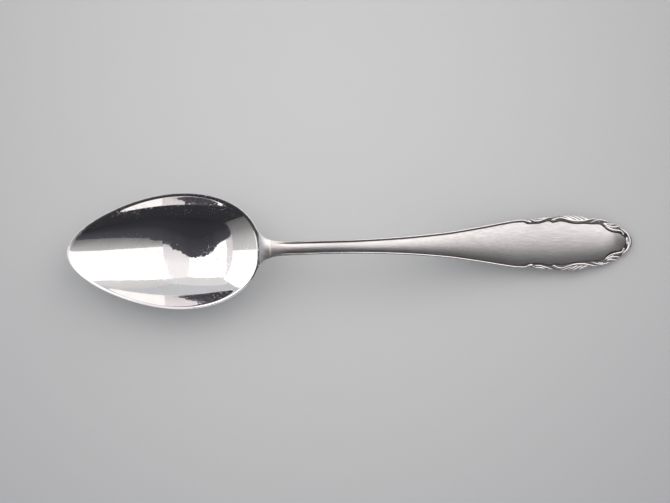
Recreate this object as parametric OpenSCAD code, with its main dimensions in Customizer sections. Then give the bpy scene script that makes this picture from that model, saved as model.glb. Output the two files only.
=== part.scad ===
// Teaspoon in silver, about 140 mm long. The bowl is raised from sheet and
// brightly polished. The handle is one long forging with a satin face. It laps
// under the bowl's neck, where the two are soldered. A drawn thread follows each
// edge of the handle, and behind the threads' ends lies a border of scrolls and
// leaves that meet in a crest at the end.
//
// The spoon lies on a table at z = 0, as it is left after use. +X runs from the
// point of the bowl to the end of the handle, and +Z points out of the bowl.
// The origin is under the middle of the spoon.

/* [Overall] */
// Length from the point of the bowl to the end of the handle
spoon_l = 140; // [128:0.5:155]
// Height of the top of the arched stem above the table
crest_h = 12.6; // [11:0.1:15]

/* [Bowl] */
// Length of the bowl's egg-shaped rim
bowl_l = 47.5; // [42:0.1:52]
// Width of the bowl over its rim
bowl_w = 28.7; // [24:0.1:33]
// Depth of the dish under its rim
bowl_depth = 7.3; // [5.5:0.1:9]
// Thickness of the bowl's floor
floor_t = 1; // [0.7:0.05:1.4]
// Thickness of the bowl's edge
rim_t = 0.85; // [0.6:0.05:1.2]
// Width of the flat land on the rim
rim_w = 0.6; // [0.45:0.05:0.9]
// How much higher the point of the bowl stands than the middle of its rim
tip_rise = 0.4; // [0:0.1:1.2]
// How much higher the shoulder stands than the middle of the rim
shoulder_rise = 2.2; // [1.6:0.1:2.8]

/* [Neck] */
// Length of the neck, from the end of the bowl's egg to the soldered seam
neck_l = 2.85; // [2.4:0.05:4]
// How far from the end of the egg the neck's flare leaves it
shoulder_l = 1; // [0.8:0.05:1.3]
// Length in which that flare dies away
flare_l = 1.75; // [1.3:0.05:2.2]
// Thickness of the bowl's half of the lap joint
lap_t = 1.25; // [1:0.05:1.5]
// Length of the handle's tongue under the bowl
tongue_l = 9; // [6:0.1:12]
// Width of the tongue at its broadest
tongue_w = 4.6; // [3.6:0.1:5.6]
// Thickness of the tongue in the middle of its length
tongue_t = 0.9; // [0.6:0.05:1.2]
// Thickness of the solder in the seam
solder_t = 0.15; // [0.1:0.01:0.25]

/* [Handle] */
// Width of the stem at its narrowest
stem_w = 3.36; // [2.8:0.02:4]
// Thickness of the stem under its face
stem_t = 1.9; // [1.5:0.05:2.4]
// Width of the blade over its border
blade_w = 14; // [12:0.1:16]
// Thickness of the blade under its border
blade_t = 1.15; // [0.9:0.05:1.5]
// Height of the blade's crowned face over the ledge round it
crown_h = 0.95; // [0.6:0.05:1.3]
// Height of the step at the edge of the face
step_h = 0.22; // [0.1:0.02:0.35]
// Width of the ledge that carries the thread
ledge_w = 0.62; // [0.5:0.02:0.8]

/* [Border] */
// Length of the border of scrolls, measured back from the end of the handle
border_l = 25.9; // [23:0.1:28]
// Width of the thread
thread_w = 0.46; // [0.36:0.02:0.56]
// Height of the thread
thread_h = 0.34; // [0.25:0.01:0.45]
// Width of the broadest stroke of the relief
relief_w = 0.86; // [0.6:0.02:1.1]
// Height of the tallest stroke of the relief
relief_h = 0.62; // [0.4:0.02:0.8]

/* [Hidden] */

BRIGHT = "gainsboro";
SATIN = "silver";
SEAM = "rosybrown";

// Air between pieces that are soldered on a curved seat
seat_gap = 0.06;
// The spots on which the spoon rests are worn flat: how deep and how long under
// the bowl, and how deep under the end of the handle
wear_t = 0.12;
wear_l = 3;
end_wear_t = 0.35;

// The bowl's outline is a sine hump, pulled to the shoulder by one exponent and
// filled out by the other
egg_lean = 1.359;
egg_fill = 0.382;
// How the dish deepens along the bowl, where 2 would be a parabola, and how far
// its section is from a parabola, towards a circle's arc
dish_curve = 1.85;
dish_roundness = 0.4;
deep_x = bowl_l * 0.5 ^ (1 / egg_lean);

shoulder_x = bowl_l - shoulder_l;
joint_x = bowl_l + neck_l;
handle_l = spoon_l - joint_x;
border_x = spoon_l - border_l;
rim_h = bowl_depth + floor_t - wear_t;
stem_x = joint_x + handle_l * 0.2;
// The ledge for the threads forms behind the neck
ledge_l = 2 * neck_l;
thread_x = joint_x + ledge_l - seat_gap;
// The border lies on a plane that slopes down to the end of the handle
border_slope = 0.1;
end_h = blade_t - end_wear_t;
border_h = end_h + border_l * border_slope;
// Where the tongue starts under the bowl
tongue_x = joint_x - tongue_l;

// The back's section is a superellipse: nearly round on the stem and flatter on
// the blade
stem_squareness = 2.3;
blade_squareness = 5;
// How much of the ledge the foot of the face's step takes
groove_share = 0.08;
// Where the face starts to sink before the crest, and in what length
face_end_shares = [0.8, 0.115];

// Counts of facets
tip_steps = 14;
shoulder_steps = 12;
neck_steps = 7;
stem_steps = 22;
border_steps = 40;
back_steps = 8;
tongue_steps = 12;
thread_steps = 40;
stroke_steps = 2;
bead_sides = 8;
dome_steps = 5;

// The heights of the spoon's top line above the table, from the point of the
// bowl along its rim, over the stem's arch and down to the handle's end
top_line = [
    [0, rim_h + tip_rise],
    [deep_x, rim_h],
    [bowl_l, rim_h + shoulder_rise],
    [stem_x, crest_h],
    [lerp(stem_x, border_x, 0.3), lerp(crest_h, border_h, 0.14)],
    [lerp(stem_x, border_x, 0.6), lerp(crest_h, border_h, 0.5)],
    [lerp(stem_x, border_x, 0.8), lerp(crest_h, border_h, 0.8)],
    [lerp(stem_x, border_x, 0.92), lerp(crest_h, border_h, 0.945)],
    [border_x - ledge_w, border_h + ledge_w * border_slope],
    [border_x, border_h],
    [spoon_l, end_h]
];

// How far the handle has broadened from the stem to the start of the border, at
// shares of the way there
blade_outline_shares = [
    [0, 0], [0.28, 0.005], [0.37, 0.037], [0.43, 0.073], [0.51, 0.137],
    [0.6, 0.246], [0.69, 0.39], [0.77, 0.576], [0.83, 0.729], [0.9, 0.92],
    [0.955, 1.04], [0.98, 1.055], [1, 1]
];

// Half the width of the scalloped edge under the border, as shares of
// blade_w / 2, at shares of the border's length
border_outline_shares = [
    [0, 0.83], [0.05, 0.85], [0.14, 0.87], [0.22, 0.9], [0.31, 0.95],
    [0.42, 0.97], [0.49, 0.95], [0.56, 0.865], [0.62, 0.807], [0.69, 0.786],
    [0.76, 0.72], [0.84, 0.6], [0.91, 0.45], [0.955, 0.335], [0.978, 0.235],
    [0.99, 0.155], [0.996, 0.095], [1, 0.03]
];

// Half the width of the satin face inside the border, as shares in the same way
face_outline_shares = [
    [-0.06, 0.9], [-0.035, 0.75], [0, 0.695], [0.04, 0.695], [0.09, 0.7], [0.14, 0.735],
    [0.185, 0.785], [0.205, 0.78], [0.235, 0.725], [0.27, 0.745], [0.31, 0.77],
    [0.35, 0.75], [0.4, 0.7], [0.47, 0.665], [0.53, 0.665], [0.6, 0.65], [0.69, 0.635],
    [0.735, 0.51], [0.776, 0.392], [0.824, 0.33], [0.87, 0.31], [0.905, 0.25],
    [0.93, 0.15], [0.945, 0.06], [1, 0.03]
];

// Half the width that the face's crown would have without the scallops, as shares
// in the same way
crown_outline_shares = [
    [-0.06, 0.76], [0, 0.785], [0.1, 0.8], [0.2, 0.805], [0.35, 0.79], [0.5, 0.76],
    [0.65, 0.71], [0.8, 0.6], [0.9, 0.5], [1, 0.42]
];

// The strokes of the border. Each point has its share of the border's length,
// its distance from the axis as a share of blade_w / 2, and the stroke's width
// there as a share of relief_w. The tables stand for the left side.
scroll_shares = [
    [[0.022, 0.88, 0.35], [0.04, 0.825, 0.55], [0.065, 0.79, 0.75], [0.1, 0.795, 0.8],
     [0.14, 0.835, 0.75], [0.185, 0.89, 0.6], [0.225, 0.925, 0.3]],
    [[0.055, 0.853, 0.5], [0.1, 0.868, 0.7], [0.14, 0.888, 0.6], [0.18, 0.91, 0.35]]
];
leaf_spray_shares = [
    [[0.232, 0.805, 0.75], [0.243, 0.82, 1], [0.256, 0.845, 0.85], [0.284, 0.88, 0.7],
     [0.316, 0.89, 0.7], [0.356, 0.855, 0.85], [0.408, 0.8, 1],
     [0.464, 0.765, 1.05], [0.516, 0.765, 1], [0.564, 0.79, 0.8],
     [0.61, 0.822, 0.6], [0.656, 0.84, 0.3]],
    [[0.31, 0.965, 0.35], [0.35, 0.93, 0.65], [0.4, 0.865, 0.8], [0.45, 0.79, 0.7]],
    [[0.362, 0.97, 0.4], [0.398, 0.93, 0.7], [0.442, 0.865, 0.85], [0.492, 0.78, 0.8]],
    [[0.42, 0.975, 0.4], [0.45, 0.93, 0.7], [0.487, 0.865, 0.8], [0.532, 0.79, 0.75]],
    [[0.478, 0.96, 0.4], [0.504, 0.915, 0.65], [0.542, 0.855, 0.75], [0.588, 0.805, 0.6]]
];
link_scroll_shares = [
    [[0.605, 0.702, 0.4], [0.628, 0.73, 0.6], [0.658, 0.77, 0.7],
     [0.692, 0.79, 0.75], [0.732, 0.77, 0.65], [0.776, 0.715, 0.3]],
    [[0.672, 0.725, 0.25], [0.7, 0.737, 0.4], [0.73, 0.74, 0.25]]
];
tip_leaf_shares = [
    [[0.73, 0.675, 0.35], [0.746, 0.595, 0.65], [0.776, 0.495, 0.8],
     [0.82, 0.425, 0.9], [0.868, 0.4, 0.85], [0.898, 0.37, 0.65],
     [0.914, 0.32, 0.6], [0.922, 0.255, 0.7], [0.921, 0.24, 0.55]],
    [[0.736, 0.67, 0.45], [0.758, 0.595, 0.75], [0.796, 0.54, 0.75],
     [0.842, 0.53, 0.65], [0.88, 0.545, 0.35]],
    [[0.74, 0.675, 0.4], [0.764, 0.65, 0.6], [0.793, 0.63, 0.6], [0.822, 0.628, 0.5],
     [0.848, 0.645, 0.3]]
];
crest_shares = [
    [[0.898, -0.475, 0.3], [0.918, -0.415, 0.6], [0.943, -0.335, 0.8], [0.966, -0.22, 0.9],
     [0.982, 0, 1],
     [0.966, 0.22, 0.9], [0.943, 0.335, 0.8], [0.918, 0.415, 0.6], [0.898, 0.475, 0.3]],
    [[0.952, -0.13, 0.45], [0.955, -0.06, 0.65], [0.955, 0.06, 0.65], [0.952, 0.13, 0.45]]
];
// A bead's section, as shares of its half width and of its height
bead_shares = [[0, 0], [1, 0], [0.76, 0.7], [0, 1]];
// Where the thread's knob sits, and its size, as shares of the same kind
knob_shares = [
    [-0.03, 0.812, 0.55], [-0.016, 0.798, 0.62], [-0.006, 0.787, 0.86], [0.003, 0.777, 1],
    [0.012, 0.768, 1], [0.02, 0.76, 0.82], [0.026, 0.755, 0.4]
];
// The half sections of the dish and of the bowl's back, as shares of their width
dish_shares = [1, 0.9, 0.74, 0.52, 0.27, 0];
back_shares = [1, 0.94, 0.82, 0.64, 0.43, 0.23, 0.08, 0];

function lerp(a, b, t) = a + (b - a) * t;
function clamp(v, low, high) = min(high, max(low, v));
function ease(t) = let (u = clamp(t, 0, 1)) u * u * (3 - 2 * u);

// A smooth curve through a table of [x, y] that never overshoots its points
function secant(table, i) =
    (table[i + 1][1] - table[i][1]) / (table[i + 1][0] - table[i][0]);
function tangent(table, i) =
    i == 0 ? secant(table, 0)
    : i == len(table) - 1 ? secant(table, i - 1)
    : let (a = secant(table, i - 1), b = secant(table, i)) a * b <= 0 ? 0 : 2 * a * b / (a + b);
function span(table, x, i = 0) =
    i >= len(table) - 2 || x < table[i + 1][0] ? i : span(table, x, i + 1);
function curve(table, x) =
    let (
        i = span(table, x),
        run = table[i + 1][0] - table[i][0],
        u = clamp((x - table[i][0]) / run, 0, 1)
    )
    table[i][1] * (1 + 2 * u) * (1 - u) ^ 2
    + tangent(table, i) * run * u * (1 - u) ^ 2
    + table[i + 1][1] * u * u * (3 - 2 * u)
    + tangent(table, i + 1) * run * u * u * (u - 1);

// Heights along the spoon
function top_z(x) = curve(top_line, x);
function worn(z) = max(0, z);

// The bowl: its egg, the dish in it and the underside
function hump(t, fill) = sin(180 * clamp(t, 0, 1) ^ egg_lean) ^ fill;
function egg_y(x) = bowl_w / 2 * hump(x / bowl_l, egg_fill);
function dish_y(x) = (bowl_w / 2 - rim_w) * hump((x - rim_w) / (bowl_l - 2 * rim_w), egg_fill);
// The dish's depth at x, as a share of its deepest spot's, between two ends
function sag(x, start, end) =
    1 - clamp(abs(x - deep_x) / (x < deep_x ? deep_x - start : end - deep_x), 0, 1) ^ dish_curve;
function dish_section(s) = (1 - s * s) * (1 + dish_roundness * s * s);
function dish_z(x, y) =
    top_z(x) - bowl_depth * sag(x, rim_w, bowl_l - rim_w)
    * dish_section(clamp(abs(y) / max(dish_y(x), rim_w), 0, 1))
    + neckness(x) * crown_z(joint_x) * (1 - (y / outline_y(x)) ^ 2);
function neckness(x) = ease((x - shoulder_x) / (joint_x - shoulder_x - solder_t));
function edge_t(x) = lerp(rim_t, lap_t, neckness(x));
// Under the shoulder the back of the dish runs on to the end of the neck
function back_z(x, y) =
    top_z(x) - edge_t(x) - (bowl_depth * sag(x, 0, joint_x) + floor_t - rim_t)
    * dish_section(clamp(abs(y) / outline_y(x), 0, 1)) * (1 - neckness(x));

// Half the width of the whole spoon, seen from above
border_start_y = blade_w / 2 * border_outline_shares[0][1];
function stem_y(x) =
    x < border_x
        ? lerp(stem_w / 2, border_start_y, curve(blade_outline_shares, (x - joint_x) / (border_x - joint_x)))
        : blade_w / 2 * curve(border_outline_shares, (x - border_x) / border_l);
function flare_y(x) = (egg_y(shoulder_x) - stem_y(shoulder_x)) * exp((shoulder_x - x) / flare_l);
function outline_y(x) = x < shoulder_x ? egg_y(x) : stem_y(x) + flare_y(x);

// How far the handle at x has changed from the stem's section to the blade's
function bladeness(x) = ease((x - stem_x) / (border_x - stem_x));
// The handle's section at x: how far the thread's ledge has formed, the half
// width of the satin face, the crown of the face and the metal under it
function ledge_share(x) = ease((x - joint_x) / ledge_l);
function face_y(x) =
    min(max(outline_y(x) - ledge_w, outline_y(x) * 0.6),
        blade_w / 2 * curve(face_outline_shares, (x - border_x) / border_l));
// The crown runs on evenly where the scallops cut into the face
function crown_y(x) =
    let (share = (x - border_x) / border_l)
    share < crown_outline_shares[0][0]
        ? face_y(x) : max(face_y(x), blade_w / 2 * curve(crown_outline_shares, share));
// The face sinks to the ledge just before the crest
function face_share(x) =
    1 - ease((x - border_x - face_end_shares[0] * border_l) / (face_end_shares[1] * border_l));
function crown_z(x) = crown_h * min(1, crown_y(x) / (blade_w / 3));
function under_t(x) = lerp(stem_t, blade_t, bladeness(x));
function back_squareness(x) = lerp(stem_squareness, blade_squareness, bladeness(x));

// A point of the handle's face at x and the share s of its half width
function plain_face_z(x, y) = top_z(x) + crown_z(x) * (1 - (y / outline_y(x)) ^ 2);
function face_z(x, y) =
    lerp(
        plain_face_z(x, y),
        top_z(x) + face_share(x) * (step_h + crown_z(x) * (1 - (y / crown_y(x)) ^ 2)),
        ledge_share(x)
    );

function mirrored(points) =
    concat(points, [for (i = [len(points) - 2 : -1 : 0]) [points[i][0], -points[i][1], points[i][2]]]);
function face_half(x) =
    let (o = outline_y(x), f = face_y(x), groove = lerp(f, o, groove_share))
    concat(
        [[x, o, top_z(x)]],
        [[x, groove, lerp(plain_face_z(x, groove), top_z(x), ledge_share(x))]],
        [for (s = [1, 0.86, 0.66, 0.34, 0]) [x, f * s, face_z(x, f * s)]]
    );
// Round the back the angle a runs from one edge of the face to the other. The
// two angles at which it passes the lap's seat are points of every section.
function rounded(v, squareness) = sign(v) * abs(v) ^ (2 / squareness);
lap_angle = asin(((lap_t + seat_gap) / under_t(joint_x)) ^ (back_squareness(joint_x) / 2));
back_angles = [for (i = [0 : back_steps]) lerp(lap_angle, 180 - lap_angle, i / back_steps)];
function back_point(x, a) =
    let (q = back_squareness(x))
    [x, -outline_y(x) * rounded(cos(a), q), worn(top_z(x) - under_t(x) * rounded(sin(a), q))];
function handle_ring(x) = concat(
    mirrored(face_half(x)),
    [for (a = concat([lap_angle / 3], back_angles, [180 - lap_angle / 3])) back_point(x, a)]
);

// The bowl's section at x. Towards the neck its sides take the handle's form.
function bowl_ring(x) =
    let (
        o = outline_y(x),
        q = back_squareness(joint_x),
        side_y = o * lerp(1, rounded(cos(lap_angle / 3), q), neckness(x)),
        side_z = top_z(x) - lerp(rim_t / 2, under_t(joint_x) * rounded(sin(lap_angle / 3), q), neckness(x)),
        tuck = lerp(1, lap_half_y / outline_y(joint_x), neckness(x)),
        wide = max(dish_y(x), o / 3),
        under = [for (s = back_shares) [x, -o * s * tuck, worn(back_z(x, o * s))]]
    )
    concat(
        mirrored(concat(
            [[x, o, top_z(x) - rim_t / 6 * (1 - neckness(x))], [x, lerp(o, min(wide, o), 0.3), top_z(x)]],
            [for (s = dish_shares) let (y = min(wide, o * 0.96) * s) [x, y, dish_z(x, y)]]
        )),
        [[x, -side_y, side_z]], mirrored(under), [[x, side_y, side_z]]
    );

// The tongue that laps under the bowl, with the bowl's own underside as its seat
lap_half_y = -back_point(joint_x, lap_angle)[1];
function tongue_y(u) =
    lerp(tongue_w / 2 * (1 - (1 - min(1, u * 2.2)) ^ 2) ^ 0.5, lap_half_y, ease(u * 1.6 - 0.6));
function tongue_low(u) =
    lerp(tongue_t * ease(u * 2.5 + 0.12), under_t(joint_x) - lap_t - seat_gap, ease(u * 1.5 - 0.5));
function seat_point(x, y) = [x, y, back_z(x, y) - seat_gap];
function tongue_ring(u) =
    let (
        x = tongue_x + tongue_l * u,
        half = tongue_y(u),
        n = len(face_half(joint_x)),
        q = back_squareness(joint_x),
        start = rounded(sin(lap_angle), q)
    )
    concat(
        [for (i = [0 : 2 * n]) seat_point(x, half * (1 - (i + 0.5) / (n + 0.5)))],
        [for (a = back_angles)
            seat_point(x, -half * rounded(cos(a), q) / rounded(cos(lap_angle), q))
            - [0, 0, tongue_low(u) * (rounded(sin(a), q) - start) / (1 - start)]]
    );

// A closed skin over rings of points, with a fan over each end
module skin(rings) {
    n = len(rings[0]);
    m = len(rings);
    points = concat([for (r = rings) each r], [middle(rings[0]), middle(rings[m - 1])]);
    sides = [
        for (j = [0 : m - 2], i = [0 : n - 1])
            let (k = (i + 1) % n, a = j * n + i, b = j * n + k)
            each [[a, b, b + n], [a, b + n, a + n]]
    ];
    ends = [
        for (i = [0 : n - 1])
            let (k = (i + 1) % n)
            each [[m * n, k, i], [m * n + 1, (m - 1) * n + i, (m - 1) * n + k]]
    ];
    polyhedron(points, concat(sides, ends));
}
function middle(ring) = [for (p = ring) 1 / len(ring)] * ring;

// The model is drawn with the point of the bowl at x = 0, then moved so that
// the origin lies under the middle
module placed() translate([-spoon_l / 2, 0, 0]) children();

module bowl() color(BRIGHT) placed() {
    seam_x = joint_x - solder_t;
    skin([for (x = concat(
        [for (i = [0 : tip_steps]) (deep_x - wear_l / 2) * (1 - cos(90 * (i + 0.35) / (tip_steps + 0.35)))],
        [for (i = [0 : shoulder_steps])
            lerp(deep_x + wear_l / 2, shoulder_x, sin(90 * i / (shoulder_steps + 0.5)))],
        [for (i = [0 : neck_steps]) lerp(shoulder_x, seam_x, i / neck_steps)]
    )) bowl_ring(x)]);
}

module handle() color(SATIN) placed() {
    skin(concat(
        [for (i = [0 : tongue_steps]) tongue_ring(lerp(0.005, 1, (i / tongue_steps) ^ 1.3))],
        [for (i = [0 : stem_steps - 1])
            let (u = i / stem_steps)
            handle_ring(lerp(joint_x + seat_gap / 2, border_x, (u + ease(u)) / 2))],
        [for (i = [0 : border_steps])
            handle_ring(border_x + border_l * (1 - (1 - i / border_steps) ^ 1.45))]
    ));
}

// The solder fills the seam between the end of the neck and the handle's step
module solder_seam() color(SEAM) placed() {
    half = face_half(joint_x);
    low = top_z(joint_x) - lap_t;
    ring = concat([for (p = mirrored(half)) [p[1], p[2]]], [[-lap_half_y, low], [lap_half_y, low]]);
    translate([joint_x - solder_t, 0, 0])
        rotate([90, 0, 90])
            linear_extrude(solder_t)
                polygon(ring);
}

// A rounded ridge along a path of [x, y, width, height] that lies on the ledge
module ridge(path) {
    rings = [
        for (i = [0 : len(path) - 1])
            let (
                a = path[max(0, i - 1)],
                b = path[min(len(path) - 1, i + 1)],
                run = norm([b[0] - a[0], b[1] - a[1]]),
                side = [-(b[1] - a[1]) / run, (b[0] - a[0]) / run],
                p = path[i]
            )
            [for (k = [0 : dome_steps])
                let (
                    angle = 180 * k / dome_steps,
                    out = p[2] / 2 * cos(angle),
                    x = p[0] + side[0] * out,
                    y = p[1] + side[1] * out
                )
                [x, y, top_z(clamp(x, 0, spoon_l)) + seat_gap + p[3] * sin(angle)]]
    ];
    skin(rings);
}

// The border's strokes are drawn flat, from its start, and laid on its slope
module on_border()
    translate([border_x, 0, border_h + seat_gap])
        rotate([0, atan(border_slope), 0])
            children();

// A rounded drop of the relief
module bead(point) {
    width = relief_w * point[2];
    translate([border_l * point[0], blade_w / 2 * point[1], 0])
        rotate_extrude($fn = bead_sides)
            polygon([for (s = bead_shares) [width / 2 * s[0], relief_h * point[2] * s[1]]]);
}

// A stroke of the border from its table of shares
module stroke(shares) {
    last = len(shares) - 1;
    column = [for (c = [0 : 2]) [for (i = [0 : last]) [i, shares[i][c]]]];
    points = [for (i = [0 : stroke_steps * last]) [for (c = column) curve(c, i / stroke_steps)]];
    for (i = [1 : len(points) - 1])
        hull() {
            bead(points[i - 1]);
            bead(points[i]);
        }
}

module strokes(tables, side = 1) placed() on_border() {
    for (shares = tables)
        stroke([for (p = shares) [p[0], side * p[1], p[2]]]);
}

module scroll(side) color(BRIGHT) strokes(scroll_shares, side);
module leaf_spray(side) color(BRIGHT) strokes(leaf_spray_shares, side);
module link_scroll(side) color(BRIGHT) strokes(link_scroll_shares, side);
module tip_leaf(side) color(BRIGHT) strokes(tip_leaf_shares, side);
module tip_crest() color(BRIGHT) strokes(crest_shares);

// Each thread swells out of the edge of the stem and ends in a knob
module thread(side) color(BRIGHT) placed() {
    end_x = border_x + border_l * knob_shares[0][0];
    ridge(concat(
        [for (i = [0 : thread_steps - 1])
            let (x = lerp(thread_x, end_x, i / thread_steps), grow = ease((i + 1) * thread_w / neck_l))
            [x, side * (outline_y(x) - thread_w / 2), thread_w * grow, thread_h * grow]],
        [for (p = knob_shares)
            [border_x + border_l * p[0], side * blade_w / 2 * p[1], relief_w * p[2], relief_h * p[2]]]
    ));
}

bowl();
handle();
solder_seam();
thread(1);  // left_thread
thread(-1);  // right_thread
scroll(1);  // left_scroll
scroll(-1);  // right_scroll
leaf_spray(1);  // left_leaf_spray
leaf_spray(-1);  // right_leaf_spray
link_scroll(1);  // left_link_scroll
link_scroll(-1);  // right_link_scroll
tip_leaf(1);  // left_tip_leaf
tip_leaf(-1);  // right_tip_leaf
tip_crest();
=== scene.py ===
"""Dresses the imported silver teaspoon: polished bowl, satin handle, struck border.

The spoon lies on its back on a pale table. Shapes are worked out in millimetres
from the point of the bowl, along the spoon, and moved to the row's frame at the
end. The bowl and the handle are lofted over the same lines as the solids, the
threads and the strokes of the border are swept by Geometry Nodes, and every
finish is procedural on Object coordinates.

One curve differs from the solids': half way up its sides the dish is up to
0.36 mm shallower, because a mirror shows a finer curve than a solid needs. The
back of the bowl is the solid's.
"""

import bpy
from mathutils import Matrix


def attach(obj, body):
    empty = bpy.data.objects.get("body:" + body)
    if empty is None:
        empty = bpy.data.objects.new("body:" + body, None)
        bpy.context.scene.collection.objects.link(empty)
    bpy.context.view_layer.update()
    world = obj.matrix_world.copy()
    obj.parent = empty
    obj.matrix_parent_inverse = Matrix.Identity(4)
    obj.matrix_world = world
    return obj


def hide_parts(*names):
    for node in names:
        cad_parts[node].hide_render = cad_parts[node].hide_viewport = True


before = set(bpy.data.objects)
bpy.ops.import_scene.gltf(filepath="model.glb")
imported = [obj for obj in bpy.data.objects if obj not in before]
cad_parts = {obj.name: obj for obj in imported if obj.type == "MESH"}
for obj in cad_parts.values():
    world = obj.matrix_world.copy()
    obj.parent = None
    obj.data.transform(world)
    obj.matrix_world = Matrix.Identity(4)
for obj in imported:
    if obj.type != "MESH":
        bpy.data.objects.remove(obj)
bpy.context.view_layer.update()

import logging  # noqa: E402
import math  # noqa: E402
from dataclasses import dataclass  # noqa: E402
from enum import Enum  # noqa: E402
from typing import Any, Callable, Iterable, Sequence  # noqa: E402

import bmesh  # noqa: E402
import bpy  # noqa: E402
import numpy as np  # noqa: E402
from mathutils import Matrix, Vector, kdtree  # noqa: E402

log = logging.getLogger("teaspoon")

BODY = "root"
MM = 0.001
QUARTER = math.radians(90)
Array = np.ndarray
Table = Sequence[tuple[float, float]]
# Keeps a division safe where the spoon ends
TINY = 1e-3
# In metres: vertices nearer than the one are merged, and shorter edges than the
# other are taken out
MERGE_DIST, LEAST_EDGE = 2e-7, 1e-8
# Points of a ragged edge for each given one
RAGS = 9
# The roughness of every noise
GRAIN_ROUGHNESS = 0.6
# The sockets of Map Range and of Mix whose names come up more than once there
FROM_MIN, FROM_MAX, TO_MIN, TO_MAX = 1, 2, 3, 4
COLOUR_A, COLOUR_B, MIXED = 6, 7, 2


def linear(hex_colour: str) -> tuple[float, float, float, float]:
    """Turns an sRGB hex colour into the linear colour that a shader takes.

    Args:
        hex_colour: Six hex digits, such as "C3C3C3".

    Returns:
        Linear red, green, blue and an alpha of 1.
    """
    values = [int(hex_colour[i : i + 2], 16) / 255 for i in (0, 2, 4)]
    lin = [v / 12.92 if v <= 0.04045 else ((v + 0.055) / 1.055) ** 2.4 for v in values]
    return (lin[0], lin[1], lin[2], 1.0)


def ease(t: Array | float) -> Array:
    """Smooth step from 0 to 1 as t goes from 0 to 1."""
    u = np.clip(t, 0, 1)
    return u * u * (3 - 2 * u)


def softplus(v: Array | float, soft: float) -> Array:
    """The greater of v and 0, its corner rounded over about soft."""
    return (v + np.sqrt(v * v + soft * soft)) / 2


def lerp(a: Any, b: Any, t: Any) -> Any:
    """The value that lies at the share t of the way from a to b."""
    return a + (b - a) * t


def run_along(path: Array) -> Array:
    """How far along a path in plan each of its points lies."""
    return np.concatenate([[0], np.cumsum(np.hypot(*np.diff(path, axis=0).T))])


def smooth_curve(table: Table, x: Array) -> Array:
    """A smooth curve through a table that never overshoots its points.

    Args:
        table: Points as (x, value), in order of x.
        x: Where the curve is wanted.

    Returns:
        The curve's values at x.
    """
    px, py = np.array(table, float).T
    secant = np.diff(py) / np.diff(px)
    before, after = secant[:-1], secant[1:]
    same = before * after > 0
    inner = np.where(same, 2 * before * after / np.where(same, before + after, 1), 0)
    slope = np.concatenate([secant[:1], inner, secant[-1:]])
    i = np.clip(np.searchsorted(px, x, side="right") - 1, 0, len(px) - 2)
    run = px[i + 1] - px[i]
    u = np.clip((x - px[i]) / run, 0, 1)
    return (
        py[i] * (1 + 2 * u) * (1 - u) ** 2
        + slope[i] * run * u * (1 - u) ** 2
        + py[i + 1] * u * u * (3 - 2 * u)
        + slope[i + 1] * run * u * u * (u - 1)
    )


def softened(values: Array, spread: float, step: float) -> Array:
    """Evens out a fine table with a bell-shaped window, its ends held.

    Args:
        values: Evenly spaced samples.
        spread: The window's standard deviation, in millimetres.
        step: The distance between samples, in millimetres.

    Returns:
        The softened samples.
    """
    reach = int(4 * spread / step)  # four deviations hold nearly all of the window
    bell = np.exp(-0.5 * (np.arange(-reach, reach + 1) * step / spread) ** 2)
    bell /= bell.sum()
    head = 2 * values[0] - values[reach:0:-1]
    tail = 2 * values[-1] - values[-2 : -reach - 2 : -1]
    return np.convolve(np.concatenate([head, values, tail]), bell, "valid")


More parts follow.
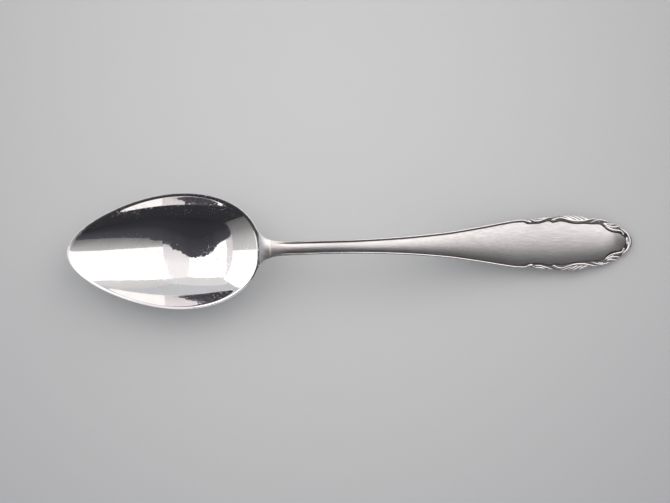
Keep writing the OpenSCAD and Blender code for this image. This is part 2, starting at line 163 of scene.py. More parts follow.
@dataclass
class SpoonLines:
    """The lines that the bowl and the handle share, in millimetres.

    x runs from the point of the bowl to the end of the handle, y to the left and
    z up from the table.
    """

    spoon_l: float = 140.0
    crest_h: float = 12.6
    bowl_l: float = 47.5
    bowl_w: float = 28.7
    bowl_depth: float = 7.3
    floor_t: float = 1.0
    rim_t: float = 0.85
    rim_w: float = 0.6
    tip_rise: float = 0.4
    shoulder_rise: float = 2.2
    neck_l: float = 2.85
    shoulder_l: float = 1.0
    flare_l: float = 1.75
    lap_t: float = 1.25
    stem_w: float = 3.36
    stem_t: float = 1.9
    blade_w: float = 14.0
    blade_t: float = 1.15
    crown_h: float = 0.95
    step_h: float = 0.22
    ledge_w: float = 0.62
    border_l: float = 25.9
    solder_t: float = 0.15
    wear_t: float = 0.12
    end_wear_t: float = 0.35
    border_slope: float = 0.1
    egg_lean: float = 1.359
    egg_fill: float = 0.382
    dish_curve: float = 1.85
    stem_share: float = 0.2
    back_roundness: float = 0.4
    end_radius: float = 2.7
    # The exponents of the section of the back: nearly round, and flat with round
    # corners
    stem_squareness: float = 2.3
    blade_squareness: float = 5.0
    # The slit between the faces of the lap, which the solder fills
    lap_gap: float = 0.06
    # How far the lowest spots are rounded off above the table
    rest_softness: float = 0.012
    # The grain of the lines' tables, and how far their corners are evened out
    step: float = 0.02
    top_softness: float = 1.6
    outline_softness: float = 0.3
    face_softness: float = 0.16
    # The outline is evened out from here on, and up to this far from the end
    even_from: float = 42.0
    even_until: float = 4.0
    even_over: float = 2.0
    # Within these distances from the end its round takes over
    round_from: float = 0.6
    round_over: float = 0.3

    # Along the stem: how much of its widening to the border is done
    BLADE_SHARES = (
        (0, 0), (0.28, 0.005), (0.37, 0.037), (0.43, 0.073), (0.51, 0.137),
        (0.6, 0.246), (0.69, 0.39), (0.77, 0.576), (0.83, 0.729), (0.9, 0.92),
        (0.955, 1.04), (0.98, 1.055), (1, 1),
    )  # fmt: skip
    # Along the border: the widths of the blade, of its satin face and of its crown
    # as shares of the broadest
    BORDER_SHARES = (
        (0, 0.83), (0.05, 0.85), (0.14, 0.87), (0.22, 0.9), (0.31, 0.95),
        (0.42, 0.97), (0.49, 0.95), (0.56, 0.865), (0.62, 0.807), (0.69, 0.786),
        (0.76, 0.72), (0.84, 0.6), (0.91, 0.45), (0.955, 0.335), (0.978, 0.235),
        (0.99, 0.155), (0.996, 0.095), (1, 0.0),
    )  # fmt: skip
    FACE_SHARES = (
        (-0.06, 0.9), (-0.035, 0.75), (0, 0.695), (0.04, 0.695), (0.09, 0.7), (0.14, 0.735),
        (0.185, 0.785), (0.205, 0.78), (0.235, 0.725), (0.27, 0.745), (0.31, 0.77),
        (0.35, 0.75), (0.4, 0.7), (0.47, 0.665), (0.53, 0.665), (0.6, 0.65), (0.69, 0.635),
        (0.735, 0.51), (0.776, 0.392), (0.824, 0.33), (0.87, 0.31), (0.905, 0.25),
        (0.93, 0.15), (0.945, 0.06), (1, 0.03),
    )  # fmt: skip
    CROWN_SHARES = (
        (-0.06, 0.76), (0, 0.785), (0.1, 0.8), (0.2, 0.805), (0.35, 0.79), (0.5, 0.76),
        (0.65, 0.71), (0.8, 0.6), (0.9, 0.5), (1, 0.42),
    )  # fmt: skip
    # The face keeps at least this share of the narrow stem
    INSET_SHARE = 0.6
    # How softly the crown stops rising where the blade is broad
    CROWN_SOFTNESS = 0.05

    def __post_init__(self) -> None:
        """Works out the derived lengths and the fine tables of the lines."""
        self.deep_x = self.bowl_l * 0.5 ** (1 / self.egg_lean)
        self.shoulder_x = self.bowl_l - self.shoulder_l
        self.joint_x = self.bowl_l + self.neck_l
        self.seam_x = self.joint_x - self.solder_t
        self.border_x = self.spoon_l - self.border_l
        self.stem_x = lerp(self.joint_x, self.spoon_l, self.stem_share)
        self.rim_h = self.bowl_depth + self.floor_t - self.wear_t
        self.end_h = self.blade_t - self.end_wear_t
        self.border_h = self.end_h + self.border_l * self.border_slope
        self.x = np.arange(0, self.spoon_l + self.step / 2, self.step)
        self._top = self._top_table()
        self._outline = self._outline_table()
        self._face = self._face_table()
        self._crown_half = self._crown_table()

    def _top_table(self) -> Array:
        """Works out the top line, softened where its parts meet.

        Returns:
            Its height above the table at each x.
        """
        stem, border = self.stem_x, self.border_x
        high, low = self.crest_h, self.border_h
        # From the arch to the border the line falls in shares of both lengths
        line = [
            (0, self.rim_h + self.tip_rise),
            (self.deep_x, self.rim_h),
            (self.bowl_l, self.rim_h + self.shoulder_rise),
            (stem, high),
            (lerp(stem, border, 0.3), lerp(high, low, 0.14)),
            (lerp(stem, border, 0.6), lerp(high, low, 0.5)),
            (lerp(stem, border, 0.8), lerp(high, low, 0.8)),
            (lerp(stem, border, 0.92), lerp(high, low, 0.945)),
            (border - self.ledge_w, low + self.ledge_w * self.border_slope),
            (border, low),
            (self.spoon_l, self.end_h),
        ]
        return softened(smooth_curve(line, self.x), self.top_softness, self.step)

    def _outline_table(self) -> Array:
        """Works out the outline, softened round the shoulder.

        Returns:
            Half the width of the spoon at each x.
        """
        x = self.x
        egg = self.bowl_w / 2 * self.hump(x / self.bowl_l, self.egg_fill)
        start = self.blade_w / 2 * self.BORDER_SHARES[0][1]
        way = (x - self.joint_x) / (self.border_x - self.joint_x)
        blade = lerp(self.stem_w / 2, start, smooth_curve(self.BLADE_SHARES, way))
        border = self.blade_w / 2 * smooth_curve(
            self.BORDER_SHARES, (x - self.border_x) / self.border_l
        )
        stem = np.where(x < self.border_x, blade, border)
        at = int(round(self.shoulder_x / self.step))
        flare = (egg[at] - stem[at]) * np.exp((self.shoulder_x - x) / self.flare_l)
        plain = np.where(x < self.shoulder_x, egg, stem + flare)
        soft = softened(plain, self.outline_softness, self.step)
        before_end = (self.spoon_l - self.even_until - x) / self.even_over
        near = ease((x - self.even_from) / self.even_over) * ease(before_end)
        plain = lerp(plain, soft, near)
        # The end is round: its half width grows as the root of the distance
        left = np.maximum(self.spoon_l - x, 0)
        end = np.sqrt(2 * self.end_radius * left)
        return lerp(plain, end, ease((self.round_from - left) / self.round_over))

    def _inset_table(self) -> Array:
        """Half the width inside the ledge, or a share of the narrow stem's."""
        return np.maximum(self._outline - self.ledge_w, self._outline * self.INSET_SHARE)

    def _face_table(self) -> Array:
        """Works out the satin face inside the thread and the border.

        Returns:
            Half its width at each x.
        """
        way = (self.x - self.border_x) / self.border_l
        border = self.blade_w / 2 * smooth_curve(self.FACE_SHARES, way)
        half = np.minimum(self._inset_table(), border)
        return softened(half, self.face_softness, self.step)

    def _crown_table(self) -> Array:
        """Works out the crown's width as it would be without the scallops.

        Returns:
            Half that width at each x.
        """
        way = (self.x - self.border_x) / self.border_l
        border = self.blade_w / 2 * smooth_curve(self.CROWN_SHARES, way)
        half = np.where(way < self.CROWN_SHARES[0][0], self._inset_table(), border)
        return softened(half, self.top_softness, self.step)

    def hump(self, t: Array, fill: float) -> Array:
        """The sine hump of the egg, leaning to the shoulder and filled out."""
        return np.sin(np.pi * np.clip(t, 0, 1) ** self.egg_lean).clip(0) ** fill

    def sag(self, x: Array, start: float, end: float) -> Array:
        """The depth of the dish or of the bowl's back along the spoon.

        Args:
            x: Places along the spoon.
            start: Where the depth begins, near the point of the bowl.
            end: Where it ends, near the neck.

        Returns:
            The depth as a share of the deepest.
        """
        run = np.where(np.asarray(x) < self.deep_x, self.deep_x - start, end - self.deep_x)
        away = np.clip(np.abs(x - self.deep_x) / run, 0, 1)
        return 1 - away**self.dish_curve

    def top(self, x: Array) -> Array:
        """Height of the top line at x."""
        return np.interp(x, self.x, self._top)

    def outline(self, x: Array) -> Array:
        """The spoon's outline, exact where its two ends are round.

        Args:
            x: Places along the spoon.

        Returns:
            Half its width there.
        """
        egg = self.bowl_w / 2 * self.hump(np.asarray(x) / self.bowl_l, self.egg_fill)
        end = np.sqrt(2 * self.end_radius * np.maximum(self.spoon_l - x, 0))
        plain = np.interp(x, self.x, self._outline)
        plain = np.where(x < self.deep_x, egg, plain)
        return np.where(x > self.spoon_l - self.round_over, end, plain)

    def face(self, x: Array) -> Array:
        """Half the width of the handle's satin face at x."""
        return np.interp(x, self.x, self._face)

    def neckness(self, x: Array) -> Array:
        """How far the bowl at x has become neck."""
        return ease((x - self.shoulder_x) / (self.seam_x - self.shoulder_x))

    def bladeness(self, x: Array) -> Array:
        """How far the handle at x has become blade."""
        return ease((x - self.stem_x) / (self.border_x - self.stem_x))

    def crown_half(self, x: Array) -> Array:
        """Half the width over which the handle's face is crowned at x."""
        return np.interp(x, self.x, self._crown_half)

    def crown(self, x: Array) -> Array:
        """Height of the crown of the handle's face at x."""
        narrow = self.crown_half(x) / (self.blade_w / 3)
        return self.crown_h * (1 - softplus(1 - narrow, self.CROWN_SOFTNESS))

    def under(self, x: Array) -> Array:
        """Metal under the handle's top line at x."""
        return lerp(self.stem_t, self.blade_t, self.bladeness(x))

    def squareness(self, x: Array) -> Array:
        """The exponent of the section of the handle's back at x."""
        return lerp(self.stem_squareness, self.blade_squareness, self.bladeness(x))

    @property
    def lap_angle(self) -> float:
        """The angle round the stem's back at which the lap's seat begins."""
        share = (self.lap_t + self.lap_gap) / float(self.under(self.joint_x))
        return math.asin(share ** (float(self.squareness(self.joint_x)) / 2))


def to_frame(points: Array) -> Array:
    """Moves points from the spoon's own millimetres to the row's frame."""
    return (np.asarray(points, float) - (LINES.spoon_l / 2, 0, 0)) * MM


LINES = SpoonLines()


def closed_mesh(name: str, points: Array, faces: list[tuple[int, ...]]) -> bpy.types.Mesh:
    """Makes a smooth-shaded mesh, its doubles merged and its faces pointing out.

    Args:
        name: The mesh's name.
        points: Vertices in the spoon's own millimetres.
        faces: Vertex numbers of each face.

    Returns:
        The mesh, in the row's frame.
    """
    made = bpy.data.meshes.new(name)
    made.from_pydata(to_frame(points).tolist(), [], faces)
    shape = bmesh.new()
    shape.from_mesh(made)
    bmesh.ops.remove_doubles(shape, verts=shape.verts, dist=MERGE_DIST)
    bmesh.ops.dissolve_degenerate(shape, edges=shape.edges, dist=LEAST_EDGE)
    bmesh.ops.recalc_face_normals(shape, faces=shape.faces)
    # The recalculation turns the handle inside out, so the volume decides
    if shape.calc_volume(signed=True) < 0:
        bmesh.ops.reverse_faces(shape, faces=shape.faces)
    shape.to_mesh(made)
    shape.free()
    made.shade_smooth()
    return made


def ring_faces(rings: int, around: int) -> list[tuple[int, ...]]:
    """Makes the faces between closed rings of vertices.

    Args:
        rings: How many rings there are, one after another.
        around: How many vertices each has.

    Returns:
        The quads.
    """
    return [
        (j * around + i, j * around + (i + 1) % around,
         (j + 1) * around + (i + 1) % around, (j + 1) * around + i)
        for j in range(rings - 1)
        for i in range(around)
    ]  # fmt: skip


def fan(centre: int, first: int, around: int) -> list[tuple[int, ...]]:
    """Triangles from one vertex to the ring that starts at first."""
    return [(centre, first + i, first + (i + 1) % around) for i in range(around)]


def add_piece(
    name: str, mesh: bpy.types.Mesh, nodes: Iterable[str]
) -> bpy.types.Object:
    """Adds a mesh as a piece that rides on the spoon and stands for CAD nodes.

    Args:
        name: The piece's name.
        mesh: Its mesh, in the row's frame.
        nodes: The CAD nodes that it stands for.

    Returns:
        The new object.
    """
    piece = bpy.data.objects.new(name, mesh)
    bpy.context.scene.collection.objects.link(piece)
    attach(piece, BODY)
    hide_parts(*nodes)
    return piece


def rounded(share: Array, squareness: Array | float) -> Array:
    """A superellipse's sine or cosine from a circle's."""
    return np.abs(share) ** (2 / squareness)


@dataclass
class Bowl:
    """The raised bowl with its rim and the polished half of the neck.

    Rings run round the dish from its deepest spot to the rim, over the rim, and
    back under the bowl, so that the rim's rounding follows the egg at its point.
    """

    dish_rings: int = 58
    land_rings: int = 14
    edge_rings: int = 10
    back_rings: int = 54
    half_points: int = 190
    seam_points: int = 9
    edge_radius: float = 0.1
    edge_lean: float = 0.04
    inner_softness: float = 0.2
    dish_roundness: float = 0.2
    # The slope of the rim's land just outside the dish
    land_slope: float = 0.9
    # Points of a fine path, and how much closer they lie near the bowl's point
    # and in the neck's flare
    fine: int = 6001
    point_crowding: float = 1.6
    point_reach: float = 2.5
    flare_crowding: float = 1.2
    flare_from: float = 44.0
    flare_over: float = 2.0
    # Where the dish's outline and the spoon's part ways, on either of them
    parting_x: float = 43.5
    parting_lag: float = 0.45

    # Outside the dish by more than its edge is softened
    FAR_OUTSIDE = 3.0
    # How the rings crowd towards the rim, over the dish or the back and the land
    RIM_CROWDING = 0.9
    LAND_CROWDING = 1.2

    def outline_path(self) -> Array:
        """Walks half the outline, from the point of the bowl to the seam's middle.

        Returns:
            Its points in plan, the last ones across the seam.
        """
        t = np.linspace(0, 1, self.fine)
        x = LINES.seam_x * (t**2)
        path = np.stack([x, LINES.outline(x)], 1)
        way = run_along(path)
        at_point = self.point_crowding * np.exp(-(x / self.point_reach))
        in_flare = self.flare_crowding * ease((x - self.flare_from) / self.flare_over)
        dense = 1 + at_point + in_flare
        load = np.concatenate([[0], np.cumsum(np.diff(way) * dense[1:])])
        at = np.interp(np.linspace(0, load[-1], self.half_points), load, np.arange(len(x)))
        half = np.stack([np.interp(at, np.arange(len(x)), path[:, k]) for k in (0, 1)], 1)
        down = np.linspace(1, 0, self.seam_points + 1)[1:, None]
        seam = np.concatenate([np.full_like(down, LINES.seam_x), half[-1, 1] * down], 1)
        return np.concatenate([half, seam])

    def inner_path(self, outer: Array) -> Array:
        """Walks the dish's own outline.

        Args:
            outer: The points of the spoon's outline in plan.

        Returns:
            As many points, each facing one of the outline's.
        """
        start, end = LINES.rim_w, LINES.bowl_l - LINES.rim_w
        t = np.linspace(0, 1, self.fine)
        x = lerp(start, end, (1 - np.cos(np.pi * t)) / 2)
        path = np.stack([x, self.dish_half(x)], 1)
        way, out_way = run_along(path), run_along(outer)
        near = int(np.argmax(outer[:, 0] > self.parting_x))
        parting = float(np.interp(self.parting_x - self.parting_lag, x, way))
        share = np.interp(out_way, [0, out_way[near], out_way[-1]], [0, parting, way[-1]])
        return np.stack([np.interp(share, way, path[:, k]) for k in (0, 1)], 1)

    def dish_half(self, x: Array) -> Array:
        """Half the width of the dish at x."""
        share = (x - LINES.rim_w) / (LINES.bowl_l - 2 * LINES.rim_w)
        return (LINES.bowl_w / 2 - LINES.rim_w) * LINES.hump(share, LINES.egg_fill)

    def section(self, s: Array, roundness: float) -> Array:
        """The section of the dish or the back: 1 in the middle, 0 at its edge."""
        return (1 - s * s) * (1 + roundness * s * s)

    def dish_depth(self, x: Array, y: Array) -> Array:
        """Works out the depth of the dish, inside the dish's outline.

        Args:
            x: Places along the spoon.
            y: Places across it.

        Returns:
            Depths under the rim.
        """
        sag = LINES.sag(x, LINES.rim_w, LINES.bowl_l - LINES.rim_w)
        s = np.clip(np.abs(y) / np.maximum(self.dish_half(x), TINY), 0, 1)
        return LINES.bowl_depth * sag * self.section(s, self.dish_roundness)

    def upper(self, x: Array, y: Array, outside: Array) -> Array:
        """Height of the bowl's upper side.

        Args:
            x: Places along the spoon.
            y: Places across it.
            outside: How far each lies outside the dish's outline, or 0.

        Returns:
            Heights, with the dish's inner edge softened.
        """
        deep = np.where(outside > 0, -self.land_slope * outside, self.dish_depth(x, y))
        across = 1 - (y / np.maximum(LINES.outline(x), TINY)) ** 2
        swell = LINES.neckness(x) * float(LINES.crown(LINES.joint_x)) * across
        return LINES.top(x) - softplus(deep, self.inner_softness) + swell

    def tuck(self, x: Array) -> Array:
        """What is left of the neck's width where it meets the lap's seat."""
        q = float(LINES.squareness(LINES.joint_x))
        return lerp(1, rounded(math.cos(LINES.lap_angle), q), LINES.neckness(x))

    def under(self, x: Array, y: Array) -> Array:
        """Works out the bowl's underside.

        Args:
            x: Places along the spoon.
            y: Places across it, before the neck is drawn in.

        Returns:
            Heights, with the lowest spot worn flat on the table.
        """
        neck = LINES.neckness(x)
        depth = LINES.bowl_depth * LINES.sag(x, 0, LINES.joint_x) + LINES.floor_t - LINES.rim_t
        s = np.clip(np.abs(y) / np.maximum(LINES.outline(x), TINY), 0, 1)
        edge = lerp(LINES.rim_t, LINES.lap_t, neck)
        z = LINES.top(x) - edge - depth * self.section(s, LINES.back_roundness) * (1 - neck)
        return softplus(z, LINES.rest_softness)

    def edge_ring(self, outline: Array, inward: Array, share: float) -> Array:
        """Makes one ring of the rounding from the rim down to its lower edge.

        Args:
            outline: The outline's points in plan.
            inward: Unit vectors in plan from the outline into the bowl.
            share: 0 at the top of the edge and 1 at its foot.

        Returns:
            The ring's points.
        """
        # The first half of the rings rounds the edge, the rest goes down its side
        r, side = self.edge_radius, max(2 * share - 1, 0)
        turn = QUARTER * min(2 * share, 1)
        drop = r * (1 - math.cos(turn)) + (LINES.rim_t - r) * side
        into = r * (1 - math.sin(turn)) + self.edge_lean * side
        x, y = outline.T
        neck = LINES.neckness(x)
        q = float(LINES.squareness(LINES.joint_x))
        angle = share * LINES.lap_angle
        tuck = float(rounded(math.cos(angle), q))
        fall = float(rounded(math.sin(angle), q) / rounded(math.sin(LINES.lap_angle), q))
        rim = outline + inward * into
        z_rim = LINES.top(rim[:, 0]) - drop
        z_edge = self.upper(x, y, np.full_like(x, self.FAR_OUTSIDE))
        z_neck = lerp(z_edge, LINES.top(x) - LINES.lap_t, fall)
        flat = lerp(rim, np.stack([x, y * tuck], 1), neck[:, None])
        return np.column_stack([flat, lerp(z_rim, z_neck, neck)])

    def mesh(self) -> bpy.types.Mesh:
        """Makes the whole bowl as one closed skin.

        Returns:
            The mesh, in the row's frame.
        """
        half = self.outline_path()
        inner = self.inner_path(half)
        outline = np.concatenate([half, half[-2:0:-1] * (1, -1)])
        dish = np.concatenate([inner, inner[-2:0:-1] * (1, -1)])
        along = np.roll(outline, -1, 0) - np.roll(outline, 1, 0)
        inward = np.stack([along[:, 1], -along[:, 0]], 1)
        inward /= np.hypot(*inward.T)[:, None]
        inward[0] = (1, 0)
        centre = np.array([LINES.deep_x, 0.0])
        rings = []
        for k in range(1, self.dish_rings + 1):
            share = math.sin(QUARTER * k / self.dish_rings) ** self.RIM_CROWDING
            flat = centre + share * (dish - centre)
            z = self.upper(*flat.T, np.zeros(len(flat)))
            rings.append(np.column_stack([flat, z]))
        top_edge = self.edge_ring(outline, inward, 0.0)[:, :2]
        span = np.hypot(*(top_edge - dish).T)
        for k in range(1, self.land_rings):
            share = (k / self.land_rings) ** self.LAND_CROWDING
            flat = lerp(dish, top_edge, share)
            rings.append(np.column_stack([flat, self.upper(*flat.T, span * share)]))
        for k in range(self.edge_rings + 1):
            rings.append(self.edge_ring(outline, inward, k / self.edge_rings))
        foot = rings[-1][:, :2]
        for k in range(1, self.back_rings):
            share = math.cos(QUARTER * k / self.back_rings) ** self.RIM_CROWDING
            flat = centre + share * (foot - centre)
            z = self.under(flat[:, 0], flat[:, 1] / self.tuck(flat[:, 0]))
            rings.append(np.column_stack([flat, z]))
        around = len(outline)
        ends = [(*centre, self.upper(*centre[:, None], np.zeros(1))[0]),
                (*centre, self.under(*centre[:, None])[0])]  # fmt: skip
        points = np.concatenate([*rings, np.array(ends)])
        last = len(rings) * around
        faces = ring_faces(len(rings), around)
        faces += fan(last, 0, around) + fan(last + 1, last - around, around)
        return closed_mesh("polished_bowl", points, faces)

    def build(self) -> bpy.types.Object:
        """Builds the bowl and gives it its polish.

        Returns:
            The bowl.
        """
        piece = add_piece("polished_bowl", self.mesh(), ["bowl"])
        piece.data.materials.append(PolishedSilver().material())
        return piece


@dataclass
class Handle:
    """The satin handle, from the tongue under the bowl to the round end.

    Each ring goes from the axis over the face, down the step, across the groove
    and the ledge, round the edge and back to the axis underneath. Behind fan_x
    the rings turn, so that the last ones run out to the end like spokes.
    """

    tongue_l: float = 9.0
    tongue_w: float = 4.6
    tongue_t: float = 0.9
    edge_radius: float = 0.1
    groove_depth: float = 0.05
    groove_w: float = 0.09
    seat_sink: float = 0.02
    fan_x: float = 134.0
    spoke_x: float = 137.3
    # Where the face sinks before the crest, as shares of the border's length
    sink_from: float = 0.8
    sink_over: float = 0.115
    # How much tarnish and painted shade the ledge gets beside the threads, and
    # where it gets all of it, this far before the border
    thread_hollow: float = 0.4
    hollow_before: float = 3.0
    hollow_over: float = 2.0
    tongue_rings: int = 40
    stem_rings: int = 330
    border_rings: int = 260
    # The stem's rings begin just past the joint, and end this far before the
    # border, where the border's rings take over
    past_joint: float = 0.02
    first_step: float = 0.01
    stem_end: float = 2.0
    border_start: float = 1.8

    # Where a ring has its points, as shares of the way over the face, down the
    # step, across the ledge and round the edge
    FACE_STEPS = (0.0, 0.12, 0.24, 0.36, 0.48, 0.59, 0.69, 0.77, 0.84, 0.9, 0.945, 0.975)
    STEP_STEPS = (-0.5, -0.2, 0.1, 0.35, 0.6, 0.85, 1.1, 1.5)
    LEDGE_STEPS = (0.06, 0.13, 0.22, 0.32, 0.43, 0.55, 0.68, 0.8, 0.9, 1.0)
    EDGE_STEPS = (0.25, 0.5, 0.75, 1.0)
    # Points along a ring, to find where the face ends, and how far out that is at
    # most
    FINE = 801
    BROADEST_FACE = 0.97
    # Shares of what lies outside the face: the step's, and the least of the ledge
    STEP_SHARE = 0.08
    LEDGE_START = 0.3
    # The least distances that keep the points of a short ring apart
    FACE_GAP = 0.02
    SHORTEST = 0.1
    APART = 1e-4
    # Points round the back, above the lap's seat and from there to the bottom
    SIDE_POINTS = 5
    BACK_POINTS = 17
    # How fast the tongue's tip gets blunt, and what comes about along the tongue,
    # as a rate and an offset: its widening, its thickening, and its joining up
    TIP_RATE = 2.2
    WIDENING = (1.6, -0.6)
    THICKENING = (2.5, 0.12)
    JOINING = (1.5, -0.5)
    # How the rings crowd towards the tongue's tip and towards the end
    TIP_START = 0.002
    TIP_CROWDING = 1.4
    END_CROWDING = 1.35

    def ledge_share(self, x: Array) -> Array:
        """How far the thread's ledge has formed at x."""
        return ease((x - LINES.joint_x) / (2 * LINES.neck_l))

    def face_share(self, x: Array) -> Array:
        """How much of the face's height is left where it sinks before the crest."""
        start = LINES.border_x + self.sink_from * LINES.border_l
        return 1 - ease((x - start) / (self.sink_over * LINES.border_l))

    def plain_z(self, x: Array, y: Array) -> Array:
        """Height of the stem's plain crown."""
        across = np.clip(y / np.maximum(LINES.outline(x), TINY), 0, 1)
        return LINES.top(x) + LINES.crown(x) * (1 - across**2)

    def ledge_z(self, x: Array, y: Array) -> Array:
        """Height of the ledge, and of the ground under the border."""
        return lerp(self.plain_z(x, y), LINES.top(x), self.ledge_share(x))

    def face_z(self, x: Array, y: Array) -> Array:
        """Works out the satin face.

        Args:
            x: Places along the spoon.
            y: Places across it, on its left.

        Returns:
            Heights, crowned and raised above the ledge by the step.
        """
        across = np.clip(y / LINES.crown_half(x), 0, 1)
        raised = LINES.step_h + LINES.crown(x) * (1 - across**2)
        full = LINES.top(x) + self.face_share(x) * raised
        return lerp(self.plain_z(x, y), full, self.ledge_share(x))

    def ring(self, out_x: float) -> tuple[Array, Array]:
        """Makes the left half of the ring that meets the outline at out_x.

        Args:
            out_x: Where along the spoon the ring meets the outline.

        Returns:
            The half ring's points, and how hollow each of them is.
        """
        out_y = float(LINES.outline(np.array(out_x)))
        turn = max(0.0, (out_x - self.fan_x) / (LINES.spoon_l - self.fan_x))
        axis_x = out_x if turn == 0 else lerp(self.fan_x, self.spoke_x, turn)
        above, hollow = self.upper_half(axis_x, out_x, out_y)
        below = self.lower_half(axis_x, out_x, out_y)
        return np.concatenate([above, below]), np.concatenate([hollow, np.zeros(len(below))])

    def face_end(self, axis_x: float, out_x: float, out_y: float) -> float:
        """Finds where a half ring leaves the satin face.

        Args:
            axis_x: Where along the spoon the ring starts on the axis.
            out_x: Where along the spoon it meets the outline.
            out_y: Half the spoon's width there.

        Returns:
            The share of the way from the axis to the outline.
        """
        t = np.linspace(0, 1, self.FINE)
        inside = out_y * t < LINES.face(lerp(axis_x, out_x, t))
        last = self.FINE - 1 if inside.all() else int(np.argmin(inside))
        return min(t[max(last - 1, 0)], self.BROADEST_FACE)

    def upper_half(self, axis_x: float, out_x: float, out_y: float) -> tuple[Array, Array]:
        """Makes the upper side of a half ring.

        Args:
            axis_x: Where along the spoon the ring starts on the axis.
            out_x: Where along the spoon it meets the outline.
            out_y: Half the spoon's width there.

        Returns:
            Its points from the axis outwards, and how hollow each of them is.
        """
        long = math.hypot(out_x - axis_x, out_y)
        face_at = self.face_end(axis_x, out_x, out_y)
        foot = lerp(face_at, 1, self.STEP_SHARE)
        edge_at = max(1 - self.edge_radius / long, lerp(foot, 1, self.LEDGE_START))
        gap = 1 - self.FACE_GAP / max(long, self.SHORTEST)
        face = np.array(self.FACE_STEPS) * face_at * gap
        slope = lerp(face_at, foot, np.array(self.STEP_STEPS))
        slope = np.clip(slope, face[-1] + self.APART, None)
        ledge = lerp(slope[-1], edge_at, np.array(self.LEDGE_STEPS))
        round_to = QUARTER * np.array(self.EDGE_STEPS)
        edge = lerp(edge_at, 1, np.sin(round_to))
        at = np.concatenate([face, slope, ledge, edge])
        x, y = lerp(axis_x, out_x, at), out_y * at
        down = ease((at - slope[0]) / (slope[-1] - slope[0]))
        z = lerp(self.face_z(x, y), self.ledge_z(x, y), down)
        # The groove is painted dark as the shade at the step; the ledge gets tarnish and painted
        # shade
        groove = np.exp(-(((at - foot) * long / self.groove_w) ** 2)) * self.ledge_share(x)
        z = z - self.groove_depth * groove
        z[-len(edge) :] -= self.edge_radius * (1 - np.cos(round_to))
        full = ease((out_x - LINES.border_x + self.hollow_before) / self.hollow_over)
        ground = lerp(self.thread_hollow * self.ledge_share(x), 1, full)
        return np.column_stack([x, y, z]), np.clip(groove + down * ground, 0, 1)

    def back_angles(self, first: float) -> Array:
        """Angles round the back, from first over the lap's seat to the bottom."""
        side = np.linspace(first, LINES.lap_angle, self.SIDE_POINTS + 1)[:-1]
        return np.concatenate([side, np.linspace(LINES.lap_angle, QUARTER, self.BACK_POINTS)])

    def lower_half(self, axis_x: float, out_x: float, out_y: float) -> Array:
        """Makes the underside of a half ring.

        Args:
            axis_x: Where along the spoon the ring starts on the axis.
            out_x: Where along the spoon it meets the outline.
            out_y: Half the spoon's width there.

        Returns:
            Its points from the outline back to the axis.
        """
        q = float(LINES.squareness(np.array(out_x)))
        under = float(LINES.under(np.array(out_x)))
        angles = self.back_angles(math.asin((self.edge_radius / under) ** (q / 2)))
        back = rounded(np.cos(angles), q)
        x = lerp(axis_x, out_x, back)
        low = softplus(LINES.top(x) - under * rounded(np.sin(angles), q), LINES.rest_softness)
        return np.column_stack([x, out_y * back, low])

    def tongue_ring(self, u: float, tops: int) -> Array:
        """Makes the left half of the tongue's ring at the share u of its length.

        Args:
            u: 0 at the tongue's tip and 1 at the joint.
            tops: How many points lie on its seat.

        Returns:
            The half ring's points, as many as in a ring of the handle.
        """
        x = LINES.joint_x - self.tongue_l * (1 - u)
        q, lap = float(LINES.squareness(LINES.joint_x)), LINES.lap_angle
        under = float(LINES.under(LINES.joint_x))
        wide = float(LINES.outline(np.array(LINES.joint_x)) * rounded(math.cos(lap), q))
        stages = (self.WIDENING, self.THICKENING, self.JOINING)
        wider, thicker, joined = (float(ease(u * rate + offset)) for rate, offset in stages)
        blunt = self.tongue_w / 2 * math.sqrt(1 - (1 - min(1, u * self.TIP_RATE)) ** 2)
        half = lerp(blunt, wide, wider)
        thick = lerp(self.tongue_t * thicker, under - LINES.lap_t - LINES.lap_gap, joined)
        angles = self.back_angles(lap)
        start = float(rounded(math.sin(lap), q))
        y_low = half * rounded(np.cos(angles), q) / rounded(math.cos(lap), q)
        drop = thick * (rounded(np.sin(angles), q) - start) / (1 - start)
        y = np.concatenate([half * np.linspace(0, 1, tops), y_low])
        seat = Bowl().under(np.full_like(y, x), y) + self.seat_sink
        seat[tops:] -= drop
        return np.column_stack([np.full_like(y, x), y, seat])

    def ring_places(self) -> Array:
        """Sets out the rings of the stem and of the blade.

        Returns:
            Where along the spoon each meets the outline.
        """
        start = LINES.joint_x + self.past_joint
        share = np.linspace(0, 1, self.stem_rings)
        stem = lerp(start, LINES.border_x - self.stem_end, share)
        left = np.linspace(1, 0, self.border_rings) ** self.END_CROWDING
        border = LINES.spoon_l - (LINES.border_l + self.border_start) * left
        return np.concatenate([[start - self.first_step], stem, border])

    def mesh(self) -> bpy.types.Mesh:
        """Makes the handle as one closed skin.

        Returns:
            The mesh, in the row's frame, with the attribute hollow.
        """
        tops = len(self.FACE_STEPS + self.STEP_STEPS + self.LEDGE_STEPS + self.EDGE_STEPS)
        halves, hollows = [], []
        for k in range(self.tongue_rings + 1):
            u = lerp(self.TIP_START, 1, (k / self.tongue_rings) ** self.TIP_CROWDING)
            halves.append(self.tongue_ring(u, tops))
            hollows.append(np.zeros(len(halves[-1])))
        for out_x in self.ring_places():
            half, hollow = self.ring(float(out_x))
            halves.append(half)
            hollows.append(hollow)
        rings = [np.concatenate([h, h[-2:0:-1] * (1, -1, 1)]) for h in halves]
        shades = [np.concatenate([h, h[-2:0:-1]]) for h in hollows]
        around = len(rings[0])
        tip = rings[0].mean(0)
        points = np.concatenate([*rings, tip[None]])
        shade = np.concatenate([*shades, [0.0]])
        faces = ring_faces(len(rings), around) + fan(len(points) - 1, 0, around)
        made = closed_mesh("satin_handle", points, faces)
        return with_hollows(made, points, shade)

    def build(self) -> bpy.types.Object:
        """Builds the handle and gives it its satin.

        Returns:
            The handle.
        """
        piece = add_piece("satin_handle", self.mesh(), ["handle"])
        piece.data.materials.append(SatinSilver().material())
        return piece


